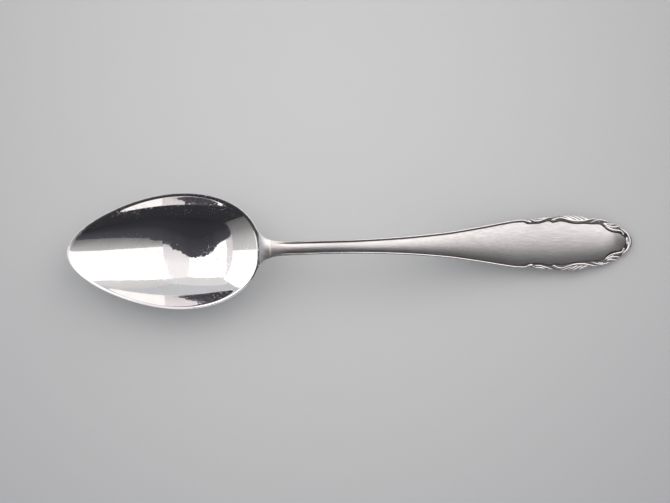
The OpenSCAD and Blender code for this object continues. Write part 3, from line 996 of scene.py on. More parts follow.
def with_hollows(made: bpy.types.Mesh, points: Array, shade: Array) -> bpy.types.Mesh:
    """Carries the shade of each point to the vertices that are left of them.

    Args:
        made: A mesh whose doubles were merged.
        points: The points it was made of, in the spoon's own millimetres.
        shade: How hollow each of those points is, from 0 to 1.

    Returns:
        The same mesh, with the attribute hollow.
    """
    tree = kdtree.KDTree(len(points))
    for i, point in enumerate(to_frame(points)):
        tree.insert(point, i)
    tree.balance()
    layer = made.attributes.new("hollow", "FLOAT", "POINT")
    layer.data.foreach_set("value", [shade[tree.find(v.co)[1]] for v in made.vertices])
    return made


@dataclass
class SolderSeam:
    """The thin bead of solder across the neck, a trace proud of both sides."""

    reach: float = 0.11
    proud: float = 0.02
    depth: float = 0.12
    steps: int = 10
    face_points: int = 22
    side_points: int = 10
    # The angle, in radians, at which the side begins under the face's edge
    side_start: float = 0.1

    def half_section(self) -> Array:
        """Works out half the neck's section at the joint, down to the lap's seat.

        Returns:
            Its points as y and z, from the middle of the face on.
        """
        x = np.array(LINES.joint_x)
        wide, under = float(LINES.outline(x)), float(LINES.under(x))
        q, top = float(LINES.squareness(x)), float(LINES.top(x))
        y = wide * np.sin(np.radians(np.linspace(0, 90, self.face_points)))
        upper = np.column_stack([y, top + LINES.crown(x) * (1 - (y / wide) ** 2)])
        angles = np.linspace(self.side_start, LINES.lap_angle, self.side_points)
        out, down = rounded(np.cos(angles), q), rounded(np.sin(angles), q)
        return np.concatenate([upper, np.column_stack([wide * out, top - under * down])])

    def mesh(self) -> bpy.types.Mesh:
        """Makes the bead as one closed skin.

        Returns:
            The mesh, in the row's frame.
        """
        half = self.half_section()
        loop = np.concatenate([half[::-1], half[1:] * (-1, 1)])
        along = np.gradient(loop, axis=0)
        out = np.stack([along[:, 1], -along[:, 0]], 1)
        out /= np.hypot(*out.T)[:, None]
        rings = []
        for k in range(self.steps + 1):
            u = 2 * k / self.steps - 1
            rise = lerp(-self.depth, self.proud, (1 - u**4) ** 0.5)
            flat = loop + out * rise
            at = LINES.joint_x - LINES.solder_t / 2 + u * self.reach
            rings.append(np.column_stack([np.full(len(flat), at), flat]))
        around = len(loop)
        points = np.concatenate([*rings, rings[0].mean(0)[None], rings[-1].mean(0)[None]])
        last = len(rings) * around
        faces = ring_faces(len(rings), around)
        faces += fan(last, 0, around) + fan(last + 1, last - around, around)
        return closed_mesh("solder_bead", points, faces)

    def build(self) -> bpy.types.Object:
        """Builds the bead of solder.

        Returns:
            The bead.
        """
        piece = add_piece("solder_bead", self.mesh(), ["solder_seam"])
        piece.data.materials.append(SilverSolder().material())
        return piece


def add_node(
    tree: bpy.types.NodeTree, kind: str, *, links: dict[Any, Any] | None = None,
    values: dict[Any, Any] | None = None, **settings: Any,
) -> bpy.types.Node:  # fmt: skip
    """Adds one node to a tree.

    Args:
        tree: The tree to add to.
        kind: The node's type.
        links: For an input's name or number, the output that feeds it.
        values: For an input's name or number, its value.
        **settings: The node's own properties.

    Returns:
        The node.
    """
    made = tree.nodes.new(kind)
    for key, value in settings.items():
        setattr(made, key, value)
    for key, value in (values or {}).items():
        made.inputs[key].default_value = value
    for key, output in (links or {}).items():
        tree.links.new(output, made.inputs[key])
    return made


class Rule(Enum):
    """The two rules that turn a path into silver."""

    WIRE = "a round wire along the path"
    DOME = "a domed stroke that stands up from the ground"


@dataclass
class Sweep:
    """A Geometry Nodes tree that sweeps a bead along every path of a mesh.

    The path's vertices carry the attribute reach, the bead's half width.
    """

    rule: Rule
    sides: int = 18
    rise: float = 1.44
    sink: float = 0.35
    # How often and how far fused beads are smoothed
    smoothings: int = 4
    smoothing: float = 0.5

    def domed(
        self, tree: bpy.types.NodeTree, shape: bpy.types.NodeSocket,
        rise: bpy.types.NodeSocket, sink: bpy.types.NodeSocket,
    ) -> bpy.types.NodeSocket:  # fmt: skip
        """Stretches a bead above the ground and flattens it below.

        Args:
            tree: The tree to add to.
            shape: The round bead, its path on the ground.
            rise: How many times as high the bead gets above the ground.
            sink: How many times as deep it gets below.

        Returns:
            The domed bead.
        """
        place = add_node(tree, "GeometryNodeInputPosition")
        split = add_node(tree, "ShaderNodeSeparateXYZ", links={0: place.outputs[0]})
        parts = []
        for operation, factor in (("MAXIMUM", rise), ("MINIMUM", sink)):
            part = add_node(
                tree, "ShaderNodeMath", operation=operation, values={1: 0.0},
                links={0: split.outputs[2]},
            )  # fmt: skip
            parts.append(add_node(
                tree, "ShaderNodeMath", operation="MULTIPLY",
                links={0: part.outputs[0], 1: factor},
            ))  # fmt: skip
        high = add_node(
            tree, "ShaderNodeMath", operation="ADD",
            links={0: parts[0].outputs[0], 1: parts[1].outputs[0]},
        )  # fmt: skip
        join = add_node(
            tree, "ShaderNodeCombineXYZ",
            links={0: split.outputs[0], 1: split.outputs[1], 2: high.outputs[0]},
        )  # fmt: skip
        moved = add_node(
            tree, "GeometryNodeSetPosition", links={"Geometry": shape, "Position": join.outputs[0]}
        )
        return moved.outputs[0]

    def tree(self, material: bpy.types.Material) -> bpy.types.NodeTree:
        """Builds the tree.

        Args:
            material: The finish of what is swept.

        Returns:
            The node group, with the inputs Rise and Sink.
        """
        tree = bpy.data.node_groups.new(f"sweep_{self.rule.name.lower()}", "GeometryNodeTree")
        face = tree.interface
        face.new_socket("Geometry", in_out="INPUT", socket_type="NodeSocketGeometry")
        for name in ("Rise", "Sink"):
            face.new_socket(name, in_out="INPUT", socket_type="NodeSocketFloat")
        face.new_socket("Geometry", in_out="OUTPUT", socket_type="NodeSocketGeometry")
        given = add_node(tree, "NodeGroupInput")
        path = add_node(tree, "GeometryNodeMeshToCurve", links={"Mesh": given.outputs[0]})
        reach = add_node(
            tree, "GeometryNodeInputNamedAttribute", data_type="FLOAT", values={"Name": "reach"}
        )
        ring = add_node(
            tree, "GeometryNodeCurvePrimitiveCircle",
            values={"Resolution": self.sides, "Radius": 1.0},
        )  # fmt: skip
        swept = add_node(
            tree, "GeometryNodeCurveToMesh", values={"Fill Caps": True},
            links={"Curve": path.outputs[0], "Profile Curve": ring.outputs[0],
                   "Scale": reach.outputs[0]},
        )  # fmt: skip
        shape = swept.outputs[0]
        if self.rule is Rule.DOME:
            shape = self.domed(tree, shape, given.outputs[1], given.outputs[2])
        whole = add_node(tree, "GeometryNodeRealizeInstances", links={0: shape})
        dressed = add_node(tree, "GeometryNodeSetMaterial", links={"Geometry": whole.outputs[0]})
        dressed.inputs["Material"].default_value = material
        add_node(tree, "NodeGroupOutput", links={0: dressed.outputs[0]})
        return tree

    def mesh(
        self, name: str, paths: Sequence[Array], material: bpy.types.Material, voxel: float = 0.0
    ) -> bpy.types.Mesh:
        """Sweeps a set of paths.

        Args:
            name: The mesh's name.
            paths: Points as (x, y, z, reach), in millimetres.
            material: The finish.
            voxel: Above 0, the beads are fused at this grain, in millimetres.

        Returns:
            The plain mesh, in millimetres.
        """
        points = np.concatenate(paths)
        first = np.cumsum([0] + [len(p) for p in paths])
        edges = [(i, i + 1) for a, b in zip(first[:-1], first[1:]) for i in range(a, b - 1)]
        base = bpy.data.meshes.new(name)
        base.from_pydata(points[:, :3].tolist(), edges, [])
        base.attributes.new("reach", "FLOAT", "POINT").data.foreach_set("value", points[:, 3])
        holder = bpy.data.objects.new(name, base)
        bpy.context.scene.collection.objects.link(holder)
        modifier = holder.modifiers.new("Sweep", "NODES")
        modifier.node_group = self.tree(material)
        for item in modifier.node_group.interface.items_tree:
            if item.in_out == "INPUT" and item.name in ("Rise", "Sink"):
                modifier[item.identifier] = getattr(self, item.name.lower())
        if voxel:
            fuse = holder.modifiers.new("Fuse", "REMESH")
            fuse.mode, fuse.voxel_size, fuse.adaptivity = "VOXEL", voxel, 0.0
            soften = holder.modifiers.new("Soften", "SMOOTH")
            soften.factor, soften.iterations = self.smoothing, self.smoothings
        graph = bpy.context.evaluated_depsgraph_get()
        made = bpy.data.meshes.new_from_object(holder.evaluated_get(graph), depsgraph=graph)
        made.name = name
        bpy.data.objects.remove(holder)
        made.shade_smooth()
        return made


@dataclass
class Thread:
    """The drawn wire along one edge of the handle, with the knob at its end."""

    side: int
    half_w: float = 0.23
    height: float = 0.34
    knob_w: float = 0.43
    knob_h: float = 0.62
    points: int = 420
    # The wire starts this thin, and grows to its full width over this length
    start_share: float = 0.12
    grows_over: float = 6.2
    # The wire grows into the knob's height over this length
    rises_over: float = 1.0
    # The knob ends in a round cap about round_x, as shares of the border's length
    cap_from: float = 0.012
    round_x: float = 0.008
    round_reach: float = 0.0262
    cap_l: float = 0.008
    knob_points: int = 40
    cap_points: int = 8
    # The tarnish and painted shade at the wire's foot fade up to this height
    shade_h: float = 0.2

    # Angles of the cap's first and last point, the last nearly at a quarter turn,
    # and the least square of its width
    CAP_TURN = (0.2, 1.57)
    CAP_LEAST = 0.0004
    # Shares of the border's length, of half the blade's width and of knob_w
    KNOB = (
        (-0.03, 0.812, 0.55), (-0.016, 0.798, 0.62), (-0.006, 0.787, 0.86),
        (0.003, 0.777, 1), (0.012, 0.768, 1), (0.02, 0.76, 0.82), (0.026, 0.755, 0.4),
    )  # fmt: skip

    def knob(self) -> Array:
        """Works out the knob's path.

        Returns:
            Its points as x, y and reach.
        """
        first, last = self.KNOB[0][0], self.KNOB[-1][0]
        body = np.linspace(first, last, self.knob_points)[1:]
        cap = last + self.cap_l * np.sin(np.linspace(*self.CAP_TURN, self.cap_points))
        at = np.concatenate([body, cap])
        size = smooth_curve([(p[0], p[2]) for p in self.KNOB], at)
        half_round = 1 - ((at - self.round_x) / self.round_reach) ** 2
        cap_size = np.sqrt(np.clip(half_round, self.CAP_LEAST, 1))
        size = np.where(at > self.cap_from, cap_size, size)
        across = LINES.blade_w / 2 * smooth_curve([(p[0], p[1]) for p in self.KNOB], at)
        return np.column_stack([LINES.border_x + LINES.border_l * at, across, self.knob_w * size])

    def path(self) -> Array:
        """Works out the path of the wire and its knob.

        Returns:
            Its points as x, y, z and reach.
        """
        start = LINES.joint_x + 2 * LINES.neck_l
        knob_x = LINES.border_x + self.KNOB[0][0] * LINES.border_l
        x = np.linspace(start, knob_x, self.points)
        grow = lerp(self.start_share, 1, ease((x - start) / self.grows_over))
        wire = np.column_stack([x, LINES.outline(x) - self.half_w, grow * self.half_w])
        x, y, reach = np.concatenate([wire, self.knob()]).T
        wire_tall, knob_tall = self.height / self.half_w, self.knob_h / self.knob_w
        tall = lerp(wire_tall, knob_tall, ease((x - knob_x) / self.rises_over))
        return np.column_stack([x, self.side * y, LINES.top(x) + reach * (tall - 1), reach])

    def build(self) -> bpy.types.Object:
        """Builds the thread.

        Returns:
            The thread.
        """
        name = "left_wire" if self.side > 0 else "right_wire"
        node = "left_thread" if self.side > 0 else "right_thread"
        mesh = Sweep(Rule.WIRE).mesh(name, [self.path()], BurnishedRelief().material())
        place_in_frame(mesh, LINES.top, self.shade_h)
        return add_piece(name, mesh, [node])


def place_in_frame(mesh: bpy.types.Mesh, ground: Callable[[Array], Array], fades_at: float) -> None:
    """Moves a mesh in millimetres to the row's frame and gives its hollows painted shade.

    Args:
        mesh: The mesh, changed in place.
        ground: The height of the ground at each x.
        fades_at: The height over the ground up to which a hollow's shade fades.
    """
    flat = np.empty(len(mesh.vertices) * 3)
    mesh.vertices.foreach_get("co", flat)
    points = flat.reshape(-1, 3)
    shade = 1 - ease((points[:, 2] - ground(points[:, 0])) / fades_at)
    mesh.attributes.new("hollow", "FLOAT", "POINT").data.foreach_set("value", shade)
    mesh.vertices.foreach_set("co", to_frame(points).ravel())
    mesh.update()


@dataclass
class Ornament:
    """One ornament of the border, made of domed strokes that run together.

    Each stroke's points have their share of the border's length, their distance
    from the axis as a share of half the blade's width, and the stroke's width
    there as a share of the broadest one's.
    """

    name: str
    node: str
    strokes: Sequence[Sequence[tuple[float, float, float]]]
    side: int = 1
    half_w: float = 0.43
    height: float = 0.62
    voxel: float = 0.045
    fine: int = 14
    # The gap under the strokes, and the height up to which their tarnish and painted shade fade
    lift: float = 0.015
    shade_h: float = 0.18

    CAP_ANGLES = (22, 45, 65, 80, 88)

    def ground(self, x: Array) -> Array:
        """Height of the border's ground at x, as the straight slope that it is."""
        return LINES.border_h - LINES.border_slope * (x - LINES.border_x)

    def paths(self) -> list[Array]:
        """Works out the strokes' paths over the border's ground.

        Returns:
            For each stroke, its points as x, y, z and reach.
        """
        made = []
        for table in self.strokes:
            shares = np.array(table, float)
            at = np.linspace(0, len(shares) - 1, self.fine * (len(shares) - 1) + 1)
            u, v, w = (smooth_curve(list(enumerate(shares[:, c])), at) for c in range(3))
            x, y, r = LINES.border_l * u, self.side * LINES.blade_w / 2 * v, self.half_w * w
            path = np.column_stack([x, y, np.zeros_like(x), r])
            head, tail = self.cap(path[0], path[1]), self.cap(path[-1], path[-2])
            made.append(np.concatenate([head[::-1], path, tail]))
        return made

    def cap(self, end: Array, inner: Array) -> Array:
        """Works out the points beyond a stroke's end that round it off.

        Args:
            end: The path's end, as x, y, z and reach.
            inner: The point before it.

        Returns:
            The points outwards from the end.
        """
        way = end[:2] - inner[:2]
        way /= np.hypot(*way)
        turn = np.radians(self.CAP_ANGLES)
        out = end[3] * np.sin(turn)
        return np.column_stack([end[:2] + np.outer(out, way), out * 0, end[3] * np.cos(turn)])

    def build(self) -> bpy.types.Object:
        """Builds the ornament and lays it on the border's slope.

        Returns:
            The ornament.
        """
        sweep = Sweep(Rule.DOME, rise=self.height / self.half_w)
        mesh = sweep.mesh(self.name, self.paths(), BurnishedRelief().material(), self.voxel)
        lean = Matrix.Rotation(math.atan(LINES.border_slope), 4, "Y")
        place = Matrix.Translation((LINES.border_x, 0, LINES.border_h + self.lift))
        mesh.transform(place @ lean)
        place_in_frame(mesh, self.ground, self.shade_h)
        return add_piece(self.name, mesh, [self.node])


class Border:
    """The scrolls, leaves and crest of both sides of the border."""

    SCROLL = (
        ((0.022, 0.88, 0.35), (0.04, 0.825, 0.55), (0.065, 0.79, 0.75), (0.1, 0.795, 0.8),
         (0.14, 0.835, 0.75), (0.185, 0.89, 0.6), (0.225, 0.925, 0.3)),
        ((0.055, 0.853, 0.5), (0.1, 0.868, 0.7), (0.14, 0.888, 0.6), (0.18, 0.91, 0.35)),
    )  # fmt: skip
    LEAF_SPRAY = (
        ((0.232, 0.805, 0.75), (0.243, 0.82, 1), (0.256, 0.845, 0.85), (0.284, 0.88, 0.7),
         (0.316, 0.89, 0.7), (0.356, 0.855, 0.85), (0.408, 0.8, 1), (0.464, 0.765, 1.05),
         (0.516, 0.765, 1), (0.564, 0.79, 0.8), (0.61, 0.822, 0.6), (0.656, 0.84, 0.3)),
        ((0.31, 0.965, 0.35), (0.35, 0.93, 0.65), (0.4, 0.865, 0.8), (0.45, 0.79, 0.7)),
        ((0.362, 0.97, 0.4), (0.398, 0.93, 0.7), (0.442, 0.865, 0.85), (0.492, 0.78, 0.8)),
        ((0.42, 0.975, 0.4), (0.45, 0.93, 0.7), (0.487, 0.865, 0.8), (0.532, 0.79, 0.75)),
        ((0.478, 0.96, 0.4), (0.504, 0.915, 0.65), (0.542, 0.855, 0.75), (0.588, 0.805, 0.6)),
    )  # fmt: skip
    LINK_SCROLL = (
        ((0.605, 0.702, 0.4), (0.628, 0.73, 0.6), (0.658, 0.77, 0.7), (0.692, 0.79, 0.75),
         (0.732, 0.77, 0.65), (0.776, 0.715, 0.3)),
        ((0.672, 0.725, 0.25), (0.7, 0.737, 0.4), (0.73, 0.74, 0.25)),
    )  # fmt: skip
    TIP_LEAF = (
        ((0.73, 0.675, 0.35), (0.746, 0.595, 0.65), (0.776, 0.495, 0.8), (0.82, 0.425, 0.9),
         (0.868, 0.4, 0.85), (0.898, 0.37, 0.65), (0.914, 0.32, 0.6), (0.922, 0.255, 0.7),
         (0.921, 0.24, 0.55)),
        ((0.736, 0.67, 0.45), (0.758, 0.595, 0.75), (0.796, 0.54, 0.75), (0.842, 0.53, 0.65),
         (0.88, 0.545, 0.35)),
        ((0.74, 0.675, 0.4), (0.764, 0.65, 0.6), (0.793, 0.63, 0.6), (0.822, 0.628, 0.5),
         (0.848, 0.645, 0.3)),
    )  # fmt: skip
    CREST = (
        ((0.898, -0.475, 0.3), (0.918, -0.415, 0.6), (0.943, -0.335, 0.8), (0.966, -0.22, 0.9),
         (0.982, 0, 1), (0.966, 0.22, 0.9), (0.943, 0.335, 0.8), (0.918, 0.415, 0.6),
         (0.898, 0.475, 0.3)),
        ((0.952, -0.13, 0.45), (0.955, -0.06, 0.65), (0.955, 0.06, 0.65), (0.952, 0.13, 0.45)),
    )  # fmt: skip

    def build(self) -> list[bpy.types.Object]:
        """Builds every ornament.

        Returns:
            The scrolls, sprays, link scrolls and leaves in pairs, then the crest.
        """
        kinds = (
            ("scroll", self.SCROLL), ("leaf_spray", self.LEAF_SPRAY),
            ("link_scroll", self.LINK_SCROLL), ("tip_leaf", self.TIP_LEAF),
        )  # fmt: skip
        made = [
            Ornament(f"{word}_{kind}_relief", f"{word}_{kind}", table, side).build()
            for kind, table in kinds
            for word, side in (("left", 1), ("right", -1))
        ]
        return [*made, Ornament("crest_relief", "tip_crest", self.CREST).build()]


def new_material(name: str) -> tuple[bpy.types.Material, bpy.types.NodeTree, bpy.types.Node]:
    """Makes an empty material with a principled shader wired to its output.

    Args:
        name: The material's name.

    Returns:
        The material, its tree and the shader.
    """
    made = bpy.data.materials.new(name)
    made.use_nodes = True
    tree = made.node_tree
    tree.nodes.clear()
    shader = add_node(tree, "ShaderNodeBsdfPrincipled")
    add_node(tree, "ShaderNodeOutputMaterial", links={0: shader.outputs[0]})
    return made, tree, shader


def grain(
    tree: bpy.types.NodeTree, per_mm: tuple[float, float, float], low: float, high: float,
    turn: float = 0.0, detail: float = 2.0,
) -> bpy.types.NodeSocket:  # fmt: skip
    """Adds a pattern with its own grain along each axis, spread out from 0 to 1.

    Args:
        tree: The material's tree.
        per_mm: Cells to a millimetre along X, Y and Z.
        low: The noise that becomes 0.
        high: The noise that becomes 1.
        turn: The grain's turn about Z, in degrees.
        detail: The noise's detail.

    Returns:
        The pattern's value.
    """
    place = add_node(tree, "ShaderNodeTexCoord")
    turned = add_node(
        tree, "ShaderNodeMapping", vector_type="TEXTURE", links={"Vector": place.outputs["Object"]},
        values={"Rotation": (0, 0, math.radians(turn)), "Scale": tuple(MM / v for v in per_mm)},
    )  # fmt: skip
    noise = add_node(
        tree, "ShaderNodeTexNoise", links={"Vector": turned.outputs[0]},
        values={"Scale": 1.0, "Detail": detail, "Roughness": GRAIN_ROUGHNESS},
    )  # fmt: skip
    spread = add_node(
        tree, "ShaderNodeMapRange", links={0: noise.outputs[0]},
        values={FROM_MIN: low, FROM_MAX: high},
    )  # fmt: skip
    return spread.outputs[0]


@dataclass(frozen=True)
class PolishedSilver:
    """Mirror-polished sterling: the bowl, wiped and stirred with for years."""

    # Silver's near-white reflection with a trace of warmth: the eye reads a
    # precious metal and not chromed steel
    colour: str = "FBF9F8"
    # Soft clouds of a greyer tone, which keep the broad reflections from looking
    # like bare glass
    dull: str = "EEEBEA"
    # A mirror, but with the soft edges that a hand polish gives each reflection
    roughness: float = 0.03
    # How much a scratch adds to the roughness, and its relief, in millimetres:
    # thin pale lines over the dark reflections, which tell a spoon in use
    scratched: float = 0.25
    scratch_strength: float = 0.08
    scratch_depth: float = 0.01
    # The neck's flare was filed to meet the handle and only lightly polished, so
    # it turns paler and blurred between these two places along X
    filed: float = 0.31
    filed_from: float = -23.4
    filed_to: float = -22.4

    # Cells to a millimetre, and the noise from which a mark shows. A real hairline
    # is a tenth of a pixel wide, so all of them are drawn as coarse as they need
    # to show at four pixels to a millimetre
    NICKS = (2.4, 2.4, 2.4)
    NICK_NOISE = (0.71, 0.74)
    # The turn of each direction, in degrees, and its cells across the lines
    HAIRLINES = ((12, 8.0), (-35, 7.0), (71, 9.0))
    HAIRLINE_ALONG = 0.2
    HAIRLINE_NOISE = (0.74, 0.84)
    # The marks come in patches, as wiping leaves them
    PATCHES = (0.2, 0.2, 0.2)
    PATCH_NOISE = (0.25, 0.6)
    CLOUDS = (0.09, 0.11, 0.1)
    CLOUD_NOISE = (0.5, 0.95)

    def scratches(self, tree: bpy.types.NodeTree) -> bpy.types.NodeSocket:
        """Adds hairline scratches in three directions, and nicks between them.

        Args:
            tree: The material's tree.

        Returns:
            How scratched each spot is.
        """
        marks = grain(tree, self.NICKS, *self.NICK_NOISE, detail=0.0)
        for turn, across in self.HAIRLINES:
            cells = (self.HAIRLINE_ALONG, across, self.HAIRLINE_ALONG)
            line = grain(tree, cells, *self.HAIRLINE_NOISE, turn, 0.0)
            both = add_node(
                tree, "ShaderNodeMath", operation="MAXIMUM", links={0: marks, 1: line}
            )
            marks = both.outputs[0]
        patchy = grain(tree, self.PATCHES, *self.PATCH_NOISE)
        worn = add_node(tree, "ShaderNodeMath", operation="MULTIPLY", links={0: marks, 1: patchy})
        return worn.outputs[0]

    def material(self) -> bpy.types.Material:
        """Builds the material.

        Returns:
            The bowl's material.
        """
        made, tree, shader = new_material("polished silver")
        worn = self.scratches(tree)
        place = add_node(tree, "ShaderNodeTexCoord")
        split = add_node(tree, "ShaderNodeSeparateXYZ", links={0: place.outputs["Object"]})
        neck = add_node(
            tree, "ShaderNodeMapRange", links={0: split.outputs[0]},
            values={FROM_MIN: self.filed_from * MM, FROM_MAX: self.filed_to * MM,
                    TO_MIN: self.roughness, TO_MAX: self.filed},
        )  # fmt: skip
        rough = add_node(
            tree, "ShaderNodeMath", operation="MULTIPLY", links={0: worn},
            values={1: self.scratched},
        )  # fmt: skip
        total = add_node(
            tree, "ShaderNodeMath", operation="ADD",
            links={0: rough.outputs[0], 1: neck.outputs[0]},
        )  # fmt: skip
        tone = add_node(
            tree, "ShaderNodeMix", data_type="RGBA",
            links={0: grain(tree, self.CLOUDS, *self.CLOUD_NOISE)},
            values={COLOUR_A: linear(self.colour), COLOUR_B: linear(self.dull)},
        )  # fmt: skip
        bump = add_node(
            tree, "ShaderNodeBump", invert=True, links={"Height": worn},
            values={"Strength": self.scratch_strength, "Distance": self.scratch_depth * MM},
        )  # fmt: skip
        tree.links.new(total.outputs[0], shader.inputs["Roughness"])
        tree.links.new(tone.outputs[MIXED], shader.inputs["Base Color"])
        tree.links.new(bump.outputs[0], shader.inputs["Normal"])
        shader.inputs["Metallic"].default_value = 1.0
        return made


@dataclass(frozen=True)
class SatinSilver:
    """Silver brushed along the handle, with a faint stain behind the neck."""

    # A soft grey sheen, a little darker in streaks: brushed metal, not paint
    colour: str = "D0CBCB"
    streak: str = "BFBCBC"
    # The brushing spreads every highlight into a soft band along the handle, and
    # its lines vary how soft that band is
    roughness: float = 0.33
    smoothest: float = -0.06
    roughest: float = 0.1
    brush_strength: float = 0.4
    brush_depth: float = 0.02
    # Painted sheen: the thin stem is painted brighter than the broad blade
    stem: str = "EAE6E5"
    sheen_from: float = -6.0
    sheen_to: float = 26.0
    # The heat of the soldering left a warm stain as far as the flux ran, which
    # ends in a step: the eye takes it for old, handmade work
    stain: str = "F6ECE8"
    stain_start: float = -20.0
    stain_end: float = -10.2
    stain_most: float = 0.9
    stain_least: float = 0.45
    step_before: float = 0.3
    step_after: float = 0.5
    # Tarnish and painted shade in the groove and on the ledge draw the face's outline
    tarnish: str = "4E4A49"
    tarnish_and_shade_most: float = 0.85
    # Painted shade: the corner between the face and the crest is painted dark,
    # which lifts the crest off the face
    painted_shade: str = "2F2A27"
    painted_shade_most: float = 0.9
    corner: tuple[float, float, float] = (68.7, -1.3, 1.6)
    corner_reach: float = 6.5

    # Cells to a millimetre. The fine brushing is nearly a real one's; the broad
    # one is coarser, so that it shows at four pixels to a millimetre
    FINE = (0.3, 9.0, 9.0)
    BROAD = (0.05, 3.4, 3.4)
    BRUSH_NOISE = (0.3, 0.7)
    # The range of the two brushings' sum that the roughness follows
    BRUSHED = (0.3, 1.7)
    STAIN_CLOUDS = (0.25, 0.6, 0.6)
    STAIN_NOISE = (0.2, 0.6)

    def stained(
        self, tree: bpy.types.NodeTree, along: bpy.types.NodeSocket
    ) -> bpy.types.NodeSocket:
        """Adds the stain: most at the seam, with a step at its end.

        Args:
            tree: The material's tree.
            along: The place along X.

        Returns:
            How stained each spot is.
        """
        fade = add_node(
            tree, "ShaderNodeMapRange", links={0: along},
            values={FROM_MIN: self.stain_start * MM, FROM_MAX: self.stain_end * MM,
                    TO_MIN: self.stain_most, TO_MAX: self.stain_least},
        )  # fmt: skip
        end = add_node(
            tree, "ShaderNodeMapRange", links={0: along},
            values={FROM_MIN: (self.stain_end - self.step_before) * MM,
                    FROM_MAX: (self.stain_end + self.step_after) * MM,
                    TO_MIN: 1.0, TO_MAX: 0.0},
        )  # fmt: skip
        cloud = grain(tree, self.STAIN_CLOUDS, *self.STAIN_NOISE)
        share = add_node(
            tree, "ShaderNodeMath", operation="MULTIPLY",
            links={0: fade.outputs[0], 1: end.outputs[0]},
        )  # fmt: skip
        both = add_node(
            tree, "ShaderNodeMath", operation="MULTIPLY", links={0: share.outputs[0], 1: cloud}
        )
        return both.outputs[0]

    def painted_corner_shade(self, tree: bpy.types.NodeTree, place: bpy.types.NodeSocket) -> bpy.types.NodeSocket:
        """Adds the painted shade in the corner before the crest.

        Args:
            tree: The material's tree.
            place: The Object coordinates.

        Returns:
            How much painted shade each spot gets.
        """
        away = add_node(
            tree, "ShaderNodeVectorMath", operation="DISTANCE", links={0: place},
            values={1: tuple(v * MM for v in self.corner)},
        )  # fmt: skip
        near = add_node(
            tree, "ShaderNodeMapRange", interpolation_type="SMOOTHSTEP",
            links={0: away.outputs["Value"]},
            values={FROM_MIN: 0.0, FROM_MAX: self.corner_reach * MM,
                    TO_MIN: self.painted_shade_most, TO_MAX: 0.0},
        )  # fmt: skip
        return near.outputs[0]

    def tone(
        self, tree: bpy.types.NodeTree, place: bpy.types.NodeSocket, broad: bpy.types.NodeSocket
    ) -> bpy.types.NodeSocket:
        """Adds the colours, one over another, from the brushing up to the painted shade.

        Args:
            tree: The material's tree.
            place: The Object coordinates.
            broad: The broad brushing.

        Returns:
            The colour.
        """
        split = add_node(tree, "ShaderNodeSeparateXYZ", links={0: place})
        painted_sheen = add_node(
            tree, "ShaderNodeMapRange", links={0: split.outputs[0]},
            values={FROM_MIN: self.sheen_from * MM, FROM_MAX: self.sheen_to * MM,
                    TO_MIN: 1.0, TO_MAX: 0.0},
        )  # fmt: skip
        hollow = add_node(tree, "ShaderNodeAttribute", attribute_name="hollow")
        dark = add_node(
            tree, "ShaderNodeMath", operation="MULTIPLY", links={0: hollow.outputs["Fac"]},
            values={1: self.tarnish_and_shade_most},
        )  # fmt: skip
        first = add_node(
            tree, "ShaderNodeMix", data_type="RGBA", links={0: broad},
            values={COLOUR_A: linear(self.colour), COLOUR_B: linear(self.streak)},
        )  # fmt: skip
        colour = first.outputs[MIXED]
        # Layers: painted sheen, stain, tarnish with painted shade, corner's painted shade
        layers = (
            (painted_sheen.outputs[0], self.stem), (self.stained(tree, split.outputs[0]), self.stain),
            (dark.outputs[0], self.tarnish), (self.painted_corner_shade(tree, place), self.painted_shade),
        )  # fmt: skip
        for share, over in layers:
            mixed = add_node(
                tree, "ShaderNodeMix", data_type="RGBA", links={0: share, COLOUR_A: colour},
                values={COLOUR_B: linear(over)},
            )  # fmt: skip
            colour = mixed.outputs[MIXED]
        return colour

    def material(self) -> bpy.types.Material:
        """Builds the material.

        Returns:
            The handle's material.
        """
        made, tree, shader = new_material("satin silver")
        fine = grain(tree, self.FINE, *self.BRUSH_NOISE, detail=3.0)
        broad = grain(tree, self.BROAD, *self.BRUSH_NOISE, detail=3.0)
        brush = add_node(tree, "ShaderNodeMath", operation="ADD", links={0: fine, 1: broad})
        rough = add_node(
            tree, "ShaderNodeMapRange", links={0: brush.outputs[0]},
            values={FROM_MIN: self.BRUSHED[0], FROM_MAX: self.BRUSHED[1],
                    TO_MIN: self.roughness + self.smoothest,
                    TO_MAX: self.roughness + self.roughest},
        )  # fmt: skip
        bump = add_node(
            tree, "ShaderNodeBump", links={"Height": brush.outputs[0]},
            values={"Strength": self.brush_strength, "Distance": self.brush_depth * MM},
        )  # fmt: skip
        place = add_node(tree, "ShaderNodeTexCoord").outputs["Object"]
        tree.links.new(rough.outputs[0], shader.inputs["Roughness"])
        tree.links.new(self.tone(tree, place, broad), shader.inputs["Base Color"])
        tree.links.new(bump.outputs[0], shader.inputs["Normal"])
        shader.inputs["Metallic"].default_value = 1.0
        return made


